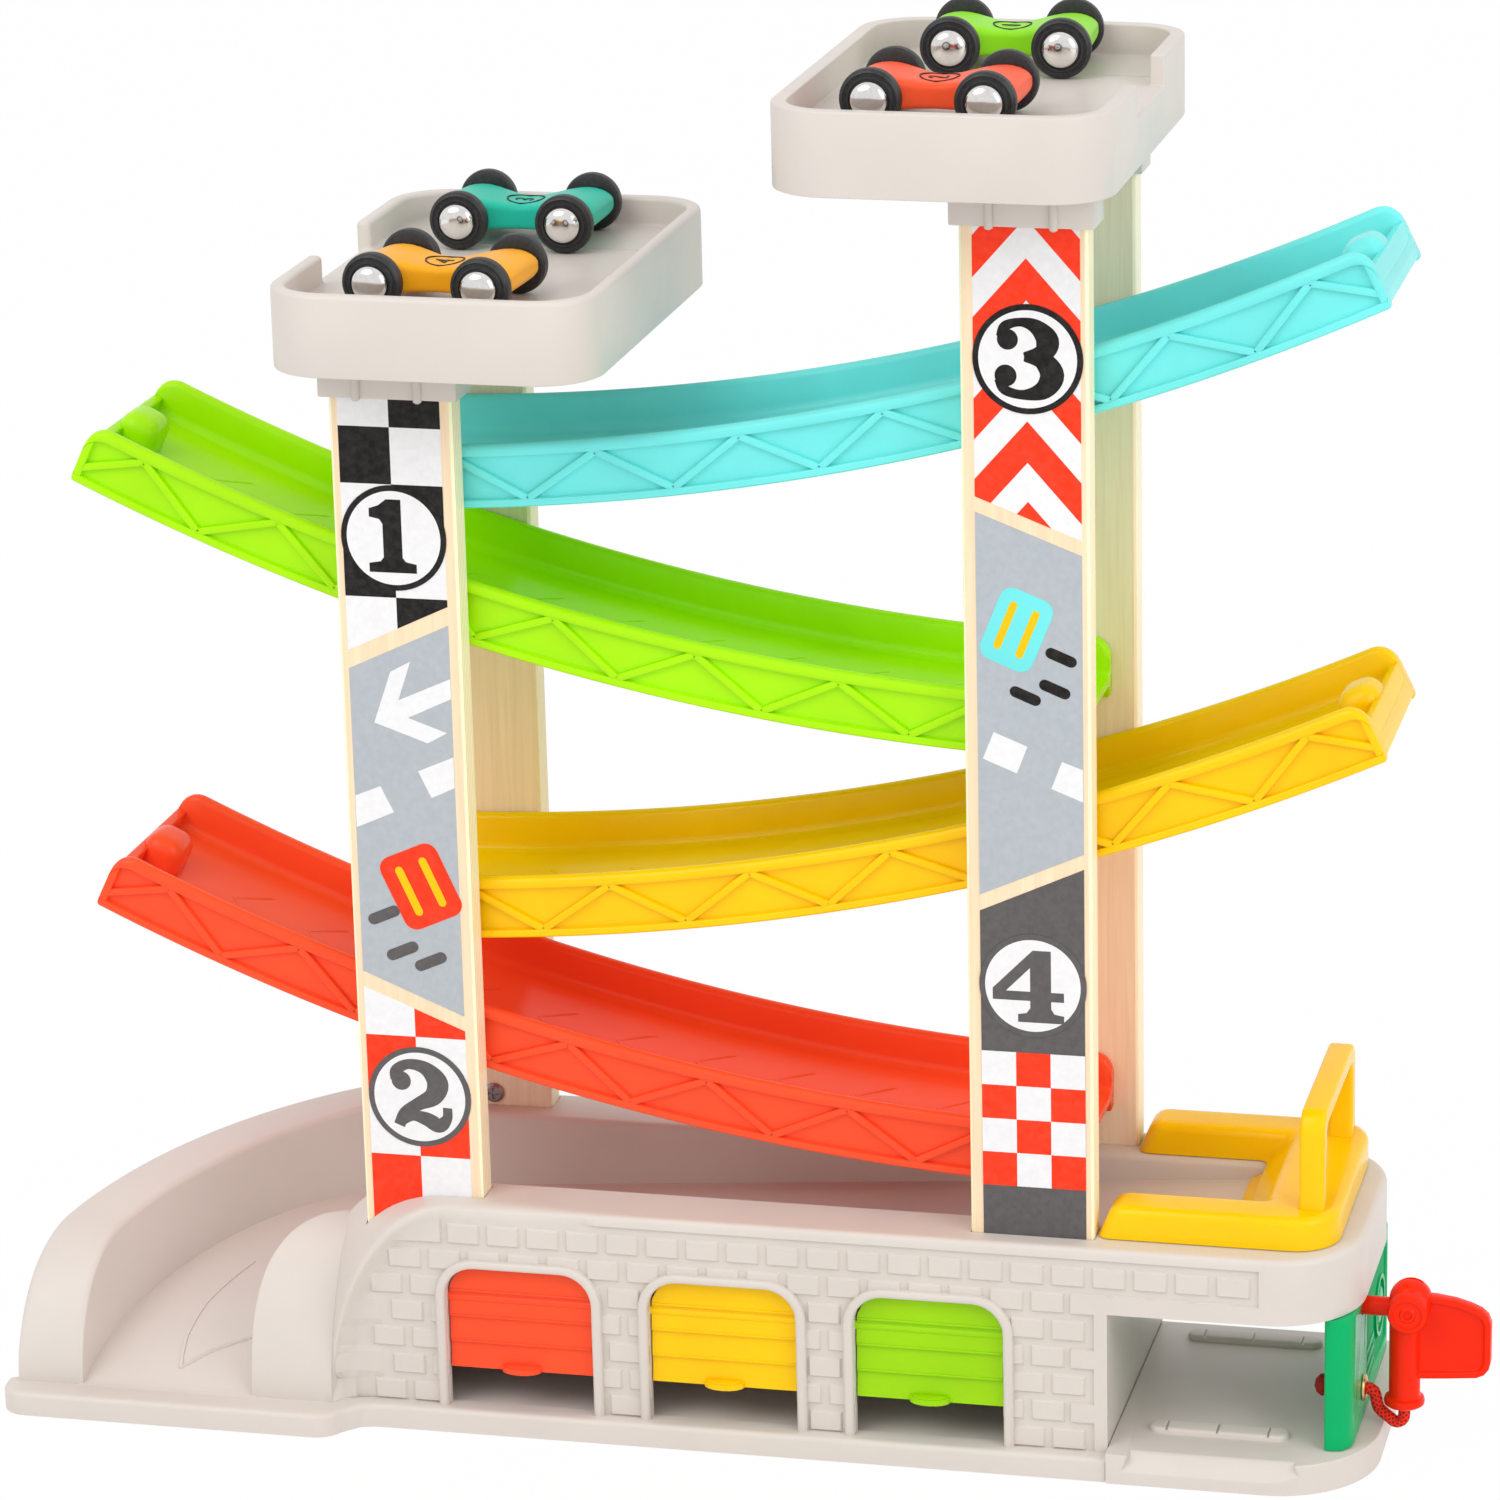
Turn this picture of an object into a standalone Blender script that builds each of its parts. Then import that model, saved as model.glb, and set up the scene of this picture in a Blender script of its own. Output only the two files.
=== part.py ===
"""Toy garage: a four-track race tower on a base with three garages and a filling station.

Metres, +Z up. The origin is on the ground under the middle of the tower, +X runs along
the base towards the filling station, and -Y is the front with the garage doors.
"""

import math

import bmesh
import bpy
from mathutils import Matrix, Vector

MM = 0.001

# Clearances
GAP = 0.3 * MM              # between pieces that touch
RUN = 0.4 * MM              # around pieces that turn or slide
WALL = 3.0 * MM             # plastic wall of the base mouldings

# Tower posts
POST_WIDTH = 38.6 * MM
POST_THICK = 10.0 * MM
POST_PITCH = 195.1 * MM     # centre to centre, left to right
POST_FOOT = 59.0 * MM       # height of the posts' lower ends in their sockets
POST_EDGE = 1.0 * MM        # chamfer along the posts' long edges

# Tracks
TRACK_WIDTH = 68.2 * MM
TRACK_RADIUS = 747.0 * MM   # of the top edge, seen from the front
TRACK_HEIGHT = 16.4 * MM
TRACK_WALL = 4.5 * MM
TRACK_TRAY = 9.9 * MM       # depth from the top edge to the running surface
TRACK_FLOOR = 2.6 * MM
TRACK_CENTRE = 124.0 * MM   # the lowest point's distance from the tower's middle
TRACK_END = 109.0 * MM      # the low end's distance from the tower's middle
TRACK_RISE = 25.5           # degrees from the lowest point to the high end
TRACK_LOWEST = 104.5 * MM   # lowest top edge, of the red track
TRACK_PITCH = 69.3 * MM     # height between two tracks
TRACK_CORNER = 6.0 * MM     # rounded top corners of the walls' ends
STOP_WALL = 3.0 * MM
BUMP_RADIUS = 6.8 * MM
BUMP_INSET = 12.0 * MM      # from the high end, along the track
BUMP_PROUD = 5.0 * MM       # above the track's top edge
PEG_RADIUS = 3.0 * MM
PEG_LENGTH = 5.0 * MM

# Decks
DECK_WIDTH = 101.6 * MM
DECK_DEPTH = 152.0 * MM
DECK_HEIGHT = 25.3 * MM
DECK_CORNER = 19.0 * MM
DECK_WALL = 4.6 * MM
DECK_SKIRT = 3.0 * MM
DECK_TRAY = 9.5 * MM        # rim height over the deck's floor
DECK_FLOOR = 2.6 * MM
DECK_SHIFT = 20.4 * MM      # from the post's middle towards the tower's middle
DECK_GATE = 47.0 * MM       # gap in the outer wall
DECK_EDGE = 1.4 * MM
LEFT_RIM = 372.0 * MM
RIGHT_RIM = 431.4 * MM
COLLAR_WALL = 2.2 * MM
COLLAR_DROP = 13.2 * MM     # below the deck's bottom edge
COLLAR_RIB = 2.0 * MM

# Base
BASE_TOP = 75.3 * MM
BASE_FRONT = -52.1 * MM     # face of the brick wall
PIVOT_X = -126.65 * MM      # centre of the channel's bend
PIVOT_Y = -56.9 * MM
BEND_INNER = 26.5 * MM
BEND_CHANNEL = 83.0 * MM
BEND_OUTER = 104.5 * MM
RIM_FRONT = 44.0 * MM       # height of the bend's wall behind its rounded nose
RIM_NOSE = 20.0             # degrees of bend that the nose takes
RIM_LEVEL = 84.0            # degrees at which the wall reaches the base's top
BEND_STEPS = 16
EXIT_FLOOR = 8.3 * MM
BEND_FLOOR = 48.0 * MM      # channel floor at the end of the bend
CHANNEL_HIGH = 71.5 * MM    # channel floor at its right end
CHANNEL_END = 176.0 * MM
PLINTH_TOP = 7.7 * MM
PLINTH_FRONT = -56.9 * MM
APRON_FRONT = -68.4 * MM
APRON_LEFT = -235.2 * MM
APRON_RIGHT = -121.5 * MM
APRON_CORNER = 9.0 * MM
NOSE_RIGHT = -106.5 * MM    # where the block's front meets the brick wall
NOSE_RUN = 65.0 * MM        # distance over which the block's top rises
NOSE_SKEW = 1.6             # the rise counts this much faster along X
BLOCK_FRONT = -57.9 * MM
ROOF_RIGHT = 198.75 * MM
ROOF_UNDER = 54.0 * MM
ROOF_CORNER = 28.0 * MM
GARAGE_RIGHT = 122.15 * MM
SOCKET_WALL = 3.0 * MM

# Garage doors
DOOR_PITCH = 65.8 * MM
DOOR_WIDTH = 46.4 * MM
DOOR_BOTTOM = 20.0 * MM
DOOR_TOP = 54.5 * MM
DOOR_THICK = 3.0 * MM
DOOR_BACK = -47.4 * MM
DOOR_CORNER = 9.7 * MM
DOOR_SLATS = 4
DOOR_STEP = 0.8 * MM
DOOR_AXIS = 43.5 * MM       # height of the hinge pins
PIN_RADIUS = 1.5 * MM
PIN_LENGTH = 1.8 * MM
TAB_WIDTH = 13.0 * MM
TAB_DEPTH = 4.0 * MM
TAB_THICK = 1.8 * MM
FRAME_BAND = 3.0 * MM
FRAME_PROUD = 0.9 * MM
JAMB_WALL = 3.0 * MM
JAMB_DEPTH = 14.0 * MM
JAMB_STOP = 1.2 * MM

# Floors
FLOOR_TOP = 6.9 * MM        # garage floor
FLOOR_START = 25.0          # degrees of bend where the floor plate begins
POCKET_DEPTH = 4.2 * MM
POCKET_SIZE = 34.0 * MM
POCKET_RIB = 4.0 * MM
STATION_TOP = 9.8 * MM
STATION_RIGHT = 203.8 * MM
STATION_FRONT = -57.7 * MM
STATION_BACK = 50.0 * MM
STATION_CORNER = 32.0 * MM
RAMP_LEFT = 128.0 * MM
RAMP_RIGHT = 180.0 * MM
RAMP_DEPTH = 9.0 * MM
RAMP_DROP = 4.0 * MM
KERB_LEFT = 132.0 * MM
KERB_RIGHT = 176.0 * MM
KERB_WIDTH = 7.5 * MM
KERB_HEIGHT = 1.8 * MM
KERB_FRONT = -36.0 * MM
KERB_BACK = 35.6 * MM

# Guard with its arch
GUARD_LEFT = 117.5 * MM
GUARD_RIGHT = 191.5 * MM
GUARD_INNER = 28.0 * MM     # half the width between the arms
GUARD_OUTER = 43.5 * MM     # half the width over the arms
GUARD_HEIGHT = 10.4 * MM
GUARD_CORNER = 14.0 * MM
GUARD_SLOPE = 7.0 * MM
GUARD_EDGE = 2.0 * MM
GUARD_BAR = 16.3 * MM       # from the channel's end back to the bar's lower edge
WEDGE_START = 154.5 * MM
ARCH_MIDDLE = 181.0 * MM
ARCH_WIDTH = 7.5 * MM
ARCH_SPAN = 68.0 * MM
ARCH_TOP = 116.0 * MM
ARCH_BAR = 6.0 * MM
ARCH_CORNER = 5.0 * MM

# Filling station's pump, nozzle and cord
PUMP_LEFT = 188.4 * MM
PUMP_RIGHT = 197.2 * MM
PUMP_FRONT = -43.7 * MM
PUMP_BACK = 42.0 * MM
PUMP_CORNER = 6.0 * MM
PUMP_RELIEF = 0.8 * MM
NOZZLE_Y = -20.0 * MM
NOZZLE_X = 210.3 * MM
STUB_Z = 49.4 * MM
STUB_RADIUS = 3.0 * MM
STUB_DEPTH = 7.0 * MM
HEAD_X = 212.0 * MM
HEAD_Z = 52.4 * MM
HEAD_RADIUS = 6.7 * MM
HEAD_HOLE = 2.0 * MM
CAP_RADIUS = 6.4 * MM
CAP_PROUD = 2.2 * MM
CAP_DROP = 2.0 * MM
BARREL_RADIUS = 4.9 * MM
BARREL_BOTTOM = 17.0 * MM
FLANGE_RADIUS = 6.4 * MM
FLANGE_THICK = 3.0 * MM
PADDLE_THICK = 4.4 * MM
PADDLE_RIM = 2.0 * MM
PADDLE_RECESS = 1.2 * MM
PADDLE = ((211.5, 53.0), (218.6, 52.7), (232.8, 50.1), (237.0, 45.6),
          (237.2, 38.5), (232.2, 27.5), (211.5, 25.7))
ROPE_RADIUS = 1.9 * MM
ROPE_HOLE_Z = 21.5 * MM
ROPE_STEP = 1.6 * MM
EYELET_RADIUS = 4.2 * MM
EYELET_THICK = 1.0 * MM
KNOT_RADIUS = 3.6 * MM

# Post screws
SCREW_RADIUS = 3.3 * MM
SCREW_PROUD = 0.9 * MM
SCREW_SHANK = 1.6 * MM
SCREW_DEPTH = 6.0 * MM
SCREW_Z = 79.5 * MM
SCREW_SLOT = 0.9 * MM

# Cars
WHEEL_RADIUS = 9.2 * MM
WHEEL_WIDTH = 5.0 * MM
WHEEL_ROUND = 1.2 * MM
WHEEL_TRACK = 33.4 * MM     # between the wheels' middle planes
WHEELBASE = 34.0 * MM
AXLE_RADIUS = 2.0 * MM
HUB_RADIUS = 5.6 * MM
HUB_DOME = 2.4 * MM
CAR_LENGTH = 50.0 * MM
CAR_WIDTH = 27.4 * MM
CAR_WAIST = 18.0 * MM
CAR_BELLY = 4.5 * MM        # below the axles
CAR_SHOULDER = 6.0 * MM     # above the axles
CAR_SADDLE = 3.4 * MM       # above the axles, at the waist
CAR_CORNER = 2.2 * MM

# Cars on the decks: deck side, place along X from the deck's middle, the end that the car
# stands at, its middle's distance from that end, turn in degrees
CARS = (
    ("teal", -1, -2.5 * MM, 1, 28.5 * MM, 0.0),
    ("orange", -1, -2.2 * MM, -1, 35.5 * MM, -3.0),
    ("green", 1, -0.4 * MM, 1, 29.5 * MM, 4.0),
    ("red", 1, -5.1 * MM, -1, 38.5 * MM, 0.0),
)

# Colours: base colour, roughness, metallic
COLOURS = {
    "shell": ((0.66, 0.60, 0.55), 0.38, 0.0),
    "wood": ((0.86, 0.68, 0.46), 0.55, 0.0),
    "teal": ((0.10, 0.68, 0.62), 0.25, 0.0),
    "green": ((0.33, 0.68, 0.01), 0.25, 0.0),
    "yellow": ((0.98, 0.56, 0.01), 0.25, 0.0),
    "red": ((0.93, 0.10, 0.03), 0.25, 0.0),
    "pump": ((0.0, 0.42, 0.14), 0.30, 0.0),
    "nozzle": ((0.85, 0.03, 0.01), 0.28, 0.0),
    "rope": ((0.75, 0.03, 0.02), 0.80, 0.0),
    "brass": ((0.70, 0.45, 0.18), 0.40, 0.6),
    "screw": ((0.42, 0.38, 0.42), 0.35, 0.0),
    "tyre": ((0.012, 0.012, 0.014), 0.55, 0.0),
    "steel": ((0.80, 0.78, 0.76), 0.12, 1.0),
    "car_teal": ((0.01, 0.50, 0.38), 0.35, 0.0),
    "car_orange": ((1.0, 0.37, 0.01), 0.35, 0.0),
    "car_green": ((0.27, 0.75, 0.01), 0.35, 0.0),
    "car_red": ((1.0, 0.11, 0.03), 0.35, 0.0),
}

# Worked out from the sizes above
POST_INNER = TRACK_WIDTH / 2 + GAP
POST_OUTER = POST_INNER + POST_THICK
POST_MIDDLE = (POST_INNER + POST_OUTER) / 2
REAR_INNER = PIVOT_Y + BEND_CHANNEL
REAR_OUTER = PIVOT_Y + BEND_OUTER
BLOCK_BACK = PIVOT_Y + BEND_INNER
BIG = 1.0


def clear_scene():
    for item in list(bpy.data.objects):
        bpy.data.objects.remove(item, do_unlink=True)


def material(name):
    found = bpy.data.materials.get(name)
    if found:
        return found
    colour, roughness, metallic = COLOURS[name]
    made = bpy.data.materials.new(name)
    made.use_nodes = True
    shader = made.node_tree.nodes["Principled BSDF"]
    shader.inputs["Base Color"].default_value = (*colour, 1.0)
    shader.inputs["Roughness"].default_value = roughness
    shader.inputs["Metallic"].default_value = metallic
    made.diffuse_color = (*colour, 1.0)
    return made


def finish(name, bm, colour, smooth=None):
    """Turn a bmesh into a named object of one material."""
    bmesh.ops.recalc_face_normals(bm, faces=bm.faces)
    mesh = bpy.data.meshes.new(name)
    bm.to_mesh(mesh)
    bm.free()
    obj = bpy.data.objects.new(name, mesh)
    bpy.context.scene.collection.objects.link(obj)
    obj.data.materials.append(material(colour))
    if smooth is not None:
        mesh.shade_smooth()
        mesh.set_sharp_from_angle(angle=math.radians(smooth))
    return obj


def operand(name, bm):
    """A hidden solid that a Boolean adds, cuts or keeps."""
    bmesh.ops.recalc_face_normals(bm, faces=bm.faces)
    mesh = bpy.data.meshes.new(name)
    bm.to_mesh(mesh)
    bm.free()
    obj = bpy.data.objects.new(name, mesh)
    bpy.context.scene.collection.objects.link(obj)
    obj.hide_render = True
    obj.display_type = "WIRE"
    return obj


def combine(obj, other, operation):
    modifier = obj.modifiers.new(operation.lower(), "BOOLEAN")
    modifier.operation = operation
    modifier.solver = "EXACT"
    modifier.object = other
    return obj


def cut(obj, other):
    return combine(obj, other, "DIFFERENCE")


def add(obj, other):
    return combine(obj, other, "UNION")


def keep(obj, other):
    return combine(obj, other, "INTERSECT")


def soften(obj, width, segments=2, angle=40.0):
    modifier = obj.modifiers.new("edges", "BEVEL")
    modifier.width = width
    modifier.segments = segments
    modifier.limit_method = "ANGLE"
    modifier.angle_limit = math.radians(angle)
    return obj


def loft(loops, closed=False):
    """Skin equal loops of points, with a face over each end unless the row is closed."""
    bm = bmesh.new()
    rings = [[bm.verts.new(point) for point in loop] for loop in loops]
    pairs = list(zip(rings, rings[1:]))
    if closed:
        pairs.append((rings[-1], rings[0]))
    for lower, upper in pairs:
        for k in range(len(lower)):
            after = (k + 1) % len(lower)
            bm.faces.new((lower[k], lower[after], upper[after], upper[k]))
    if not closed:
        bm.faces.new(rings[0])
        bm.faces.new(rings[-1])
    return bm


def prism(outline, low, high):
    """A solid over a plan outline, from one height to another."""
    return loft([[(x, y, z) for x, y in outline] for z in (low, high)])


def slab_y(outline, near, far):
    """A solid with an outline in X and Z, from one Y to another."""
    return loft([[(x, y, z) for x, z in outline] for y in (near, far)])


def box(x0, x1, y0, y1, z0, z1):
    return prism(((x0, y0), (x1, y0), (x1, y1), (x0, y1)), z0, z1)


def merge(target, source):
    """Move a bmesh's geometry into another bmesh."""
    mesh = bpy.data.meshes.new("part")
    source.to_mesh(mesh)
    source.free()
    target.from_mesh(mesh)
    bpy.data.meshes.remove(mesh)


def together(shapes):
    whole = bmesh.new()
    for shape in shapes:
        merge(whole, shape)
    return whole


def arc(cx, cy, radius, start, end, steps):
    """Points on an arc, angles in degrees."""
    points = []
    for k in range(steps + 1):
        angle = math.radians(start + (end - start) * k / steps)
        points.append((cx + radius * math.cos(angle), cy + radius * math.sin(angle)))
    return points


def rounded_box(x0, x1, y0, y1, corners, steps=4):
    """An outline with a radius for each corner: front left, front right, back right, back left."""
    centres = ((x0, y0, 1, 1, 180), (x1, y0, -1, 1, 270), (x1, y1, -1, -1, 0), (x0, y1, 1, -1, 90))
    points = []
    for (x, y, sx, sy, start), radius in zip(centres, corners):
        if radius <= 0:
            points.append((x, y))
        else:
            points += arc(x + sx * radius, y + sy * radius, radius, start, start + 90, steps)
    return points


def rod(radius, start, end, sides=16):
    """A cylinder between two points."""
    start = Vector(start)
    end = Vector(end)
    turn = (end - start).to_track_quat("Z", "Y").to_matrix().to_4x4()
    bm = bmesh.new()
    bmesh.ops.create_cone(bm, cap_ends=True, segments=sides, radius1=radius, radius2=radius,
                          depth=(end - start).length,
                          matrix=Matrix.Translation((start + end) / 2) @ turn)
    return bm


def turned(profile, sides):
    """Turn a closed profile of (radius, along) points about the Y axis."""
    loops = []
    for k in range(sides):
        angle = 2 * math.pi * k / sides
        loops.append([(r * math.cos(angle), y, r * math.sin(angle)) for r, y in profile])
    return loft(loops, closed=True)


def turned_solid(profile, sides):
    """Turn an open profile, whose two ends lie on the axis, about the Y axis."""
    bm = bmesh.new()
    tips = [bm.verts.new((0, profile[0][1], 0)), bm.verts.new((0, profile[-1][1], 0))]
    rings = []
    for r, y in profile[1:-1]:
        rings.append([bm.verts.new((r * math.cos(2 * math.pi * k / sides), y,
                                    r * math.sin(2 * math.pi * k / sides)))
                      for k in range(sides)])
    for lower, upper in zip(rings, rings[1:]):
        for k in range(sides):
            after = (k + 1) % sides
            bm.faces.new((lower[k], lower[after], upper[after], upper[k]))
    for tip, ring in ((tips[0], rings[0]), (tips[1], rings[-1])):
        for k in range(sides):
            bm.faces.new((tip, ring[k], ring[(k + 1) % sides]))
    return bm


# The base housing

def channel_floor(x):
    """Height of the straight channel's floor."""
    share = (x - PIVOT_X) / (CHANNEL_END - PIVOT_X)
    return BEND_FLOOR + (CHANNEL_HIGH - BEND_FLOOR) * share


def bend_floor(angle):
    ease = (math.sin(math.radians(angle)) + angle / 90) / 2
    return EXIT_FLOOR + (BEND_FLOOR - EXIT_FLOOR) * ease


def bend_rim(angle):
    """Top of the bend's outer wall, with its rounded nose at the exit."""
    line = RIM_FRONT + (BASE_TOP + MM - RIM_FRONT) * angle / RIM_LEVEL
    share = min(1.0, (angle + 1.0) / RIM_NOSE)
    return PLINTH_TOP + (line - PLINTH_TOP) * math.sqrt(1 - (1 - share) ** 2)


def bend_place(angle):
    """Where a radius lies in the bend, at an angle from the channel's exit."""
    a = math.radians(angle)
    return lambda r: (PIVOT_X - r * math.cos(a), PIVOT_Y + r * math.sin(a))


def swept(sections):
    """Skin a row of (place, inner, outer, low, high) sections across the channel."""
    loops = []
    for place, inner, outer, low, high in sections:
        loops.append([(*place(inner), low), (*place(outer), low),
                      (*place(outer), high), (*place(inner), high)])
    bm = loft(loops)
    bmesh.ops.triangulate(bm, faces=bm.faces)
    return bm


def trench(grow):
    """The space over the channel's floor, or the same grown by a wall."""
    inner, outer = BEND_INNER - grow, BEND_CHANNEL + grow
    high = BASE_TOP + 20 * MM
    rows = [(lambda r: (PIVOT_X - r, PIVOT_Y - 20 * MM), inner, outer, EXIT_FLOOR - grow, high)]
    for k in range(BEND_STEPS + 1):
        angle = 90 * k / BEND_STEPS
        rows.append((bend_place(angle), inner, outer, bend_floor(angle) - grow, high))
    rows.append((lambda r: (CHANNEL_END + grow, PIVOT_Y + r), inner, outer,
                 CHANNEL_HIGH - grow, high))
    return swept(rows)


def over_rim(drop):
    """The space over the bend's outer wall."""
    rows = [(lambda r: (PIVOT_X - r, PIVOT_Y - 20 * MM), BEND_CHANNEL - MM, BEND_OUTER + 5 * MM,
             bend_rim(0) - drop, BASE_TOP + 20 * MM)]
    for k in range(BEND_STEPS):
        angle = 90 * (k + 0.5) / BEND_STEPS
        rows.append((bend_place(angle), BEND_CHANNEL - MM, BEND_OUTER + 5 * MM,
                     bend_rim(angle) - drop, BASE_TOP + 20 * MM))
    return swept(rows)


def block_top(x, y):
    """Top of the front block, which rises from the exit in a long rounded nose."""
    reach = (y - BLOCK_FRONT) + NOSE_SKEW * max(0.0, x - PIVOT_X)
    share = min(1.0, max(0.02, reach / NOSE_RUN))
    return PLINTH_TOP + (BASE_TOP + MM - PLINTH_TOP) * math.sqrt(1 - (1 - share) ** 2)


def over_block(drop):
    """The space over the front block's nose."""
    left = PIVOT_X - BEND_INNER - 3 * MM
    columns = [left + k * 6.0 * MM for k in range(16)]
    rows = [BLOCK_FRONT - 4 * MM + k * 5.0 * MM for k in range(8)]
    bm = bmesh.new()
    low = [[bm.verts.new((x, y, block_top(x, y) - drop)) for y in rows] for x in columns]
    top = [[bm.verts.new((x, y, BASE_TOP + 20 * MM)) for y in rows] for x in columns]
    for grid in (top, low):
        for i in range(len(columns) - 1):
            for j in range(len(rows) - 1):
                bm.faces.new((grid[i][j], grid[i + 1][j], grid[i + 1][j + 1], grid[i][j + 1]))
    for i in range(len(columns) - 1):
        for j in (0, len(rows) - 1):
            bm.faces.new((low[i][j], low[i + 1][j], top[i + 1][j], top[i][j]))
    for j in range(len(rows) - 1):
        for i in (0, len(columns) - 1):
            bm.faces.new((low[i][j], low[i][j + 1], top[i][j + 1], top[i][j]))
    bmesh.ops.triangulate(bm, faces=bm.faces)
    return bm


def base_outline(inset):
    """Plan of the whole base over its foot, or the same drawn in by a wall."""
    points = [(PIVOT_X - BEND_OUTER + inset, BLOCK_FRONT + inset),
              (PIVOT_X, BLOCK_FRONT + inset)]
    steps = 4
    for k in range(1, steps + 1):
        share = k / steps
        ease = share * share * (3 - 2 * share)
        points.append((PIVOT_X + (NOSE_RIGHT - PIVOT_X) * share,
                       BLOCK_FRONT + (BASE_FRONT - BLOCK_FRONT) * ease + inset))
    reach = ROOF_CORNER - inset
    points += arc(ROOF_RIGHT - ROOF_CORNER, BASE_FRONT + ROOF_CORNER, reach, -90, 0, 6)
    points += arc(ROOF_RIGHT - ROOF_CORNER, REAR_OUTER - ROOF_CORNER, reach, 0, 90, 6)
    radius = BEND_OUTER - inset
    points += arc(PIVOT_X, PIVOT_Y, radius, 90, 176, BEND_STEPS)
    return points


def foot_outline():
    """Plan of the foot along the front, with the wider apron before the channel's exit."""
    c = APRON_CORNER
    points = arc(APRON_LEFT + c, APRON_FRONT + c, c, 180, 270, 5)
    points += arc(APRON_RIGHT - c, APRON_FRONT + c, c, 270, 340, 4)
    points += [(APRON_RIGHT + 6 * MM, PLINTH_FRONT + 0.3 * MM), (APRON_RIGHT + 12 * MM, PLINTH_FRONT)]
    inside = WALL / 2
    points += [(GARAGE_RIGHT + MM, PLINTH_FRONT), (GARAGE_RIGHT + MM, BASE_FRONT + inside),
               (NOSE_RIGHT, BASE_FRONT + inside), (PIVOT_X, BLOCK_FRONT + inside),
               (PIVOT_X - BEND_OUTER + inside, BLOCK_FRONT + inside),
               (PIVOT_X - BEND_OUTER + inside, BLOCK_FRONT + 2 * inside),
               (APRON_LEFT, BLOCK_FRONT + 2 * inside)]
    return points


def arch_outline(middle, width, low, top, corner):
    """A doorway's outline in X and Z, with rounded upper corners."""
    left, right = middle - width / 2, middle + width / 2
    points = [(left, low), (right, low)]
    points += arc(right - corner, top - corner, corner, 0, 90, 5)
    points += arc(left + corner, top - corner, corner, 90, 180, 5)
    return points


def door_centres():
    return [DOOR_PITCH * k for k in (-1, 0, 1)]


def post_places():
    """Name, middle X and the two Y faces of each post."""
    places = []
    for side, sign in (("left", -1), ("right", 1)):
        x = sign * POST_PITCH / 2
        places.append(("post_front_" + side, x, -POST_OUTER, -POST_INNER))
        places.append(("post_rear_" + side, x, POST_INNER, POST_OUTER))
    return places


def make_housing():
    """The grey base moulding: channel, garages, roof and post sockets, open underneath."""
    housing = finish("base_housing", prism(base_outline(0), 0, BASE_TOP), "shell", 35)
    cavity = operand("cavity", prism(base_outline(WALL), -MM, BASE_TOP - WALL))
    for obj, drop in ((housing, 0), (cavity, WALL)):
        cut(obj, operand("trench_%d" % bool(drop), trench(drop)))
        cut(obj, operand("over_rim_%d" % bool(drop), over_rim(drop)))
        cut(obj, operand("over_block_%d" % bool(drop), over_block(drop)))
    line_cavity(cavity)
    cut(housing, cavity)
    under = box(GARAGE_RIGHT, BIG, -BIG, BIG, -MM, ROOF_UNDER)
    cut(housing, operand("station_space", under))
    add(housing, operand("foot", prism(foot_outline(), 0, PLINTH_TOP)))
    cut(housing, operand("foot_end", box(GARAGE_RIGHT, BIG, -BIG, BIG, -MM, ROOF_UNDER)))
    open_doorways(housing)
    for name, x, front, back in post_places():
        hole = box(x - POST_WIDTH / 2 - GAP, x + POST_WIDTH / 2 + GAP, front - GAP, back + GAP,
                   POST_FOOT - GAP, BASE_TOP + 10 * MM)
        cut(housing, operand("slot_" + name, hole))
    return housing


def line_cavity(cavity):
    """Keep material inside the base: the garages' right wall, post sockets and door jambs."""
    end_wall = box(GARAGE_RIGHT - WALL, GARAGE_RIGHT + MM, -BIG, BIG, -2 * MM,
                   channel_floor(GARAGE_RIGHT) - WALL / 2)
    cut(cavity, operand("garage_end_wall", end_wall))
    for name, x, front, back in post_places():
        reach = SOCKET_WALL + GAP
        cup = box(x - POST_WIDTH / 2 - reach, x + POST_WIDTH / 2 + reach,
                  front - reach, back + reach, POST_FOOT - GAP - SOCKET_WALL, BASE_TOP)
        cut(cavity, operand("socket_" + name, cup))
    for k, x in enumerate(door_centres()):
        half = DOOR_WIDTH / 2 + RUN
        for side in (-1, 1):
            outer = x + side * (half + JAMB_WALL)
            upper = x + side * half
            lower = x + side * (half - JAMB_STOP)
            jamb = box(min(outer, upper), max(outer, upper), BASE_FRONT + MM,
                       BASE_FRONT + JAMB_DEPTH, FLOOR_TOP + GAP, DOOR_TOP)
            cut(cavity, operand("jamb_%d_%d" % (k, side), jamb))
            stop = box(min(outer, lower) + 0.4 * MM, max(outer, lower) - 0.4 * MM,
                       DOOR_BACK + GAP, DOOR_BACK + GAP + JAMB_STOP,
                       FLOOR_TOP + 2 * GAP, DOOR_AXIS - 5 * MM)
            cut(cavity, operand("stop_%d_%d" % (k, side), stop))


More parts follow.
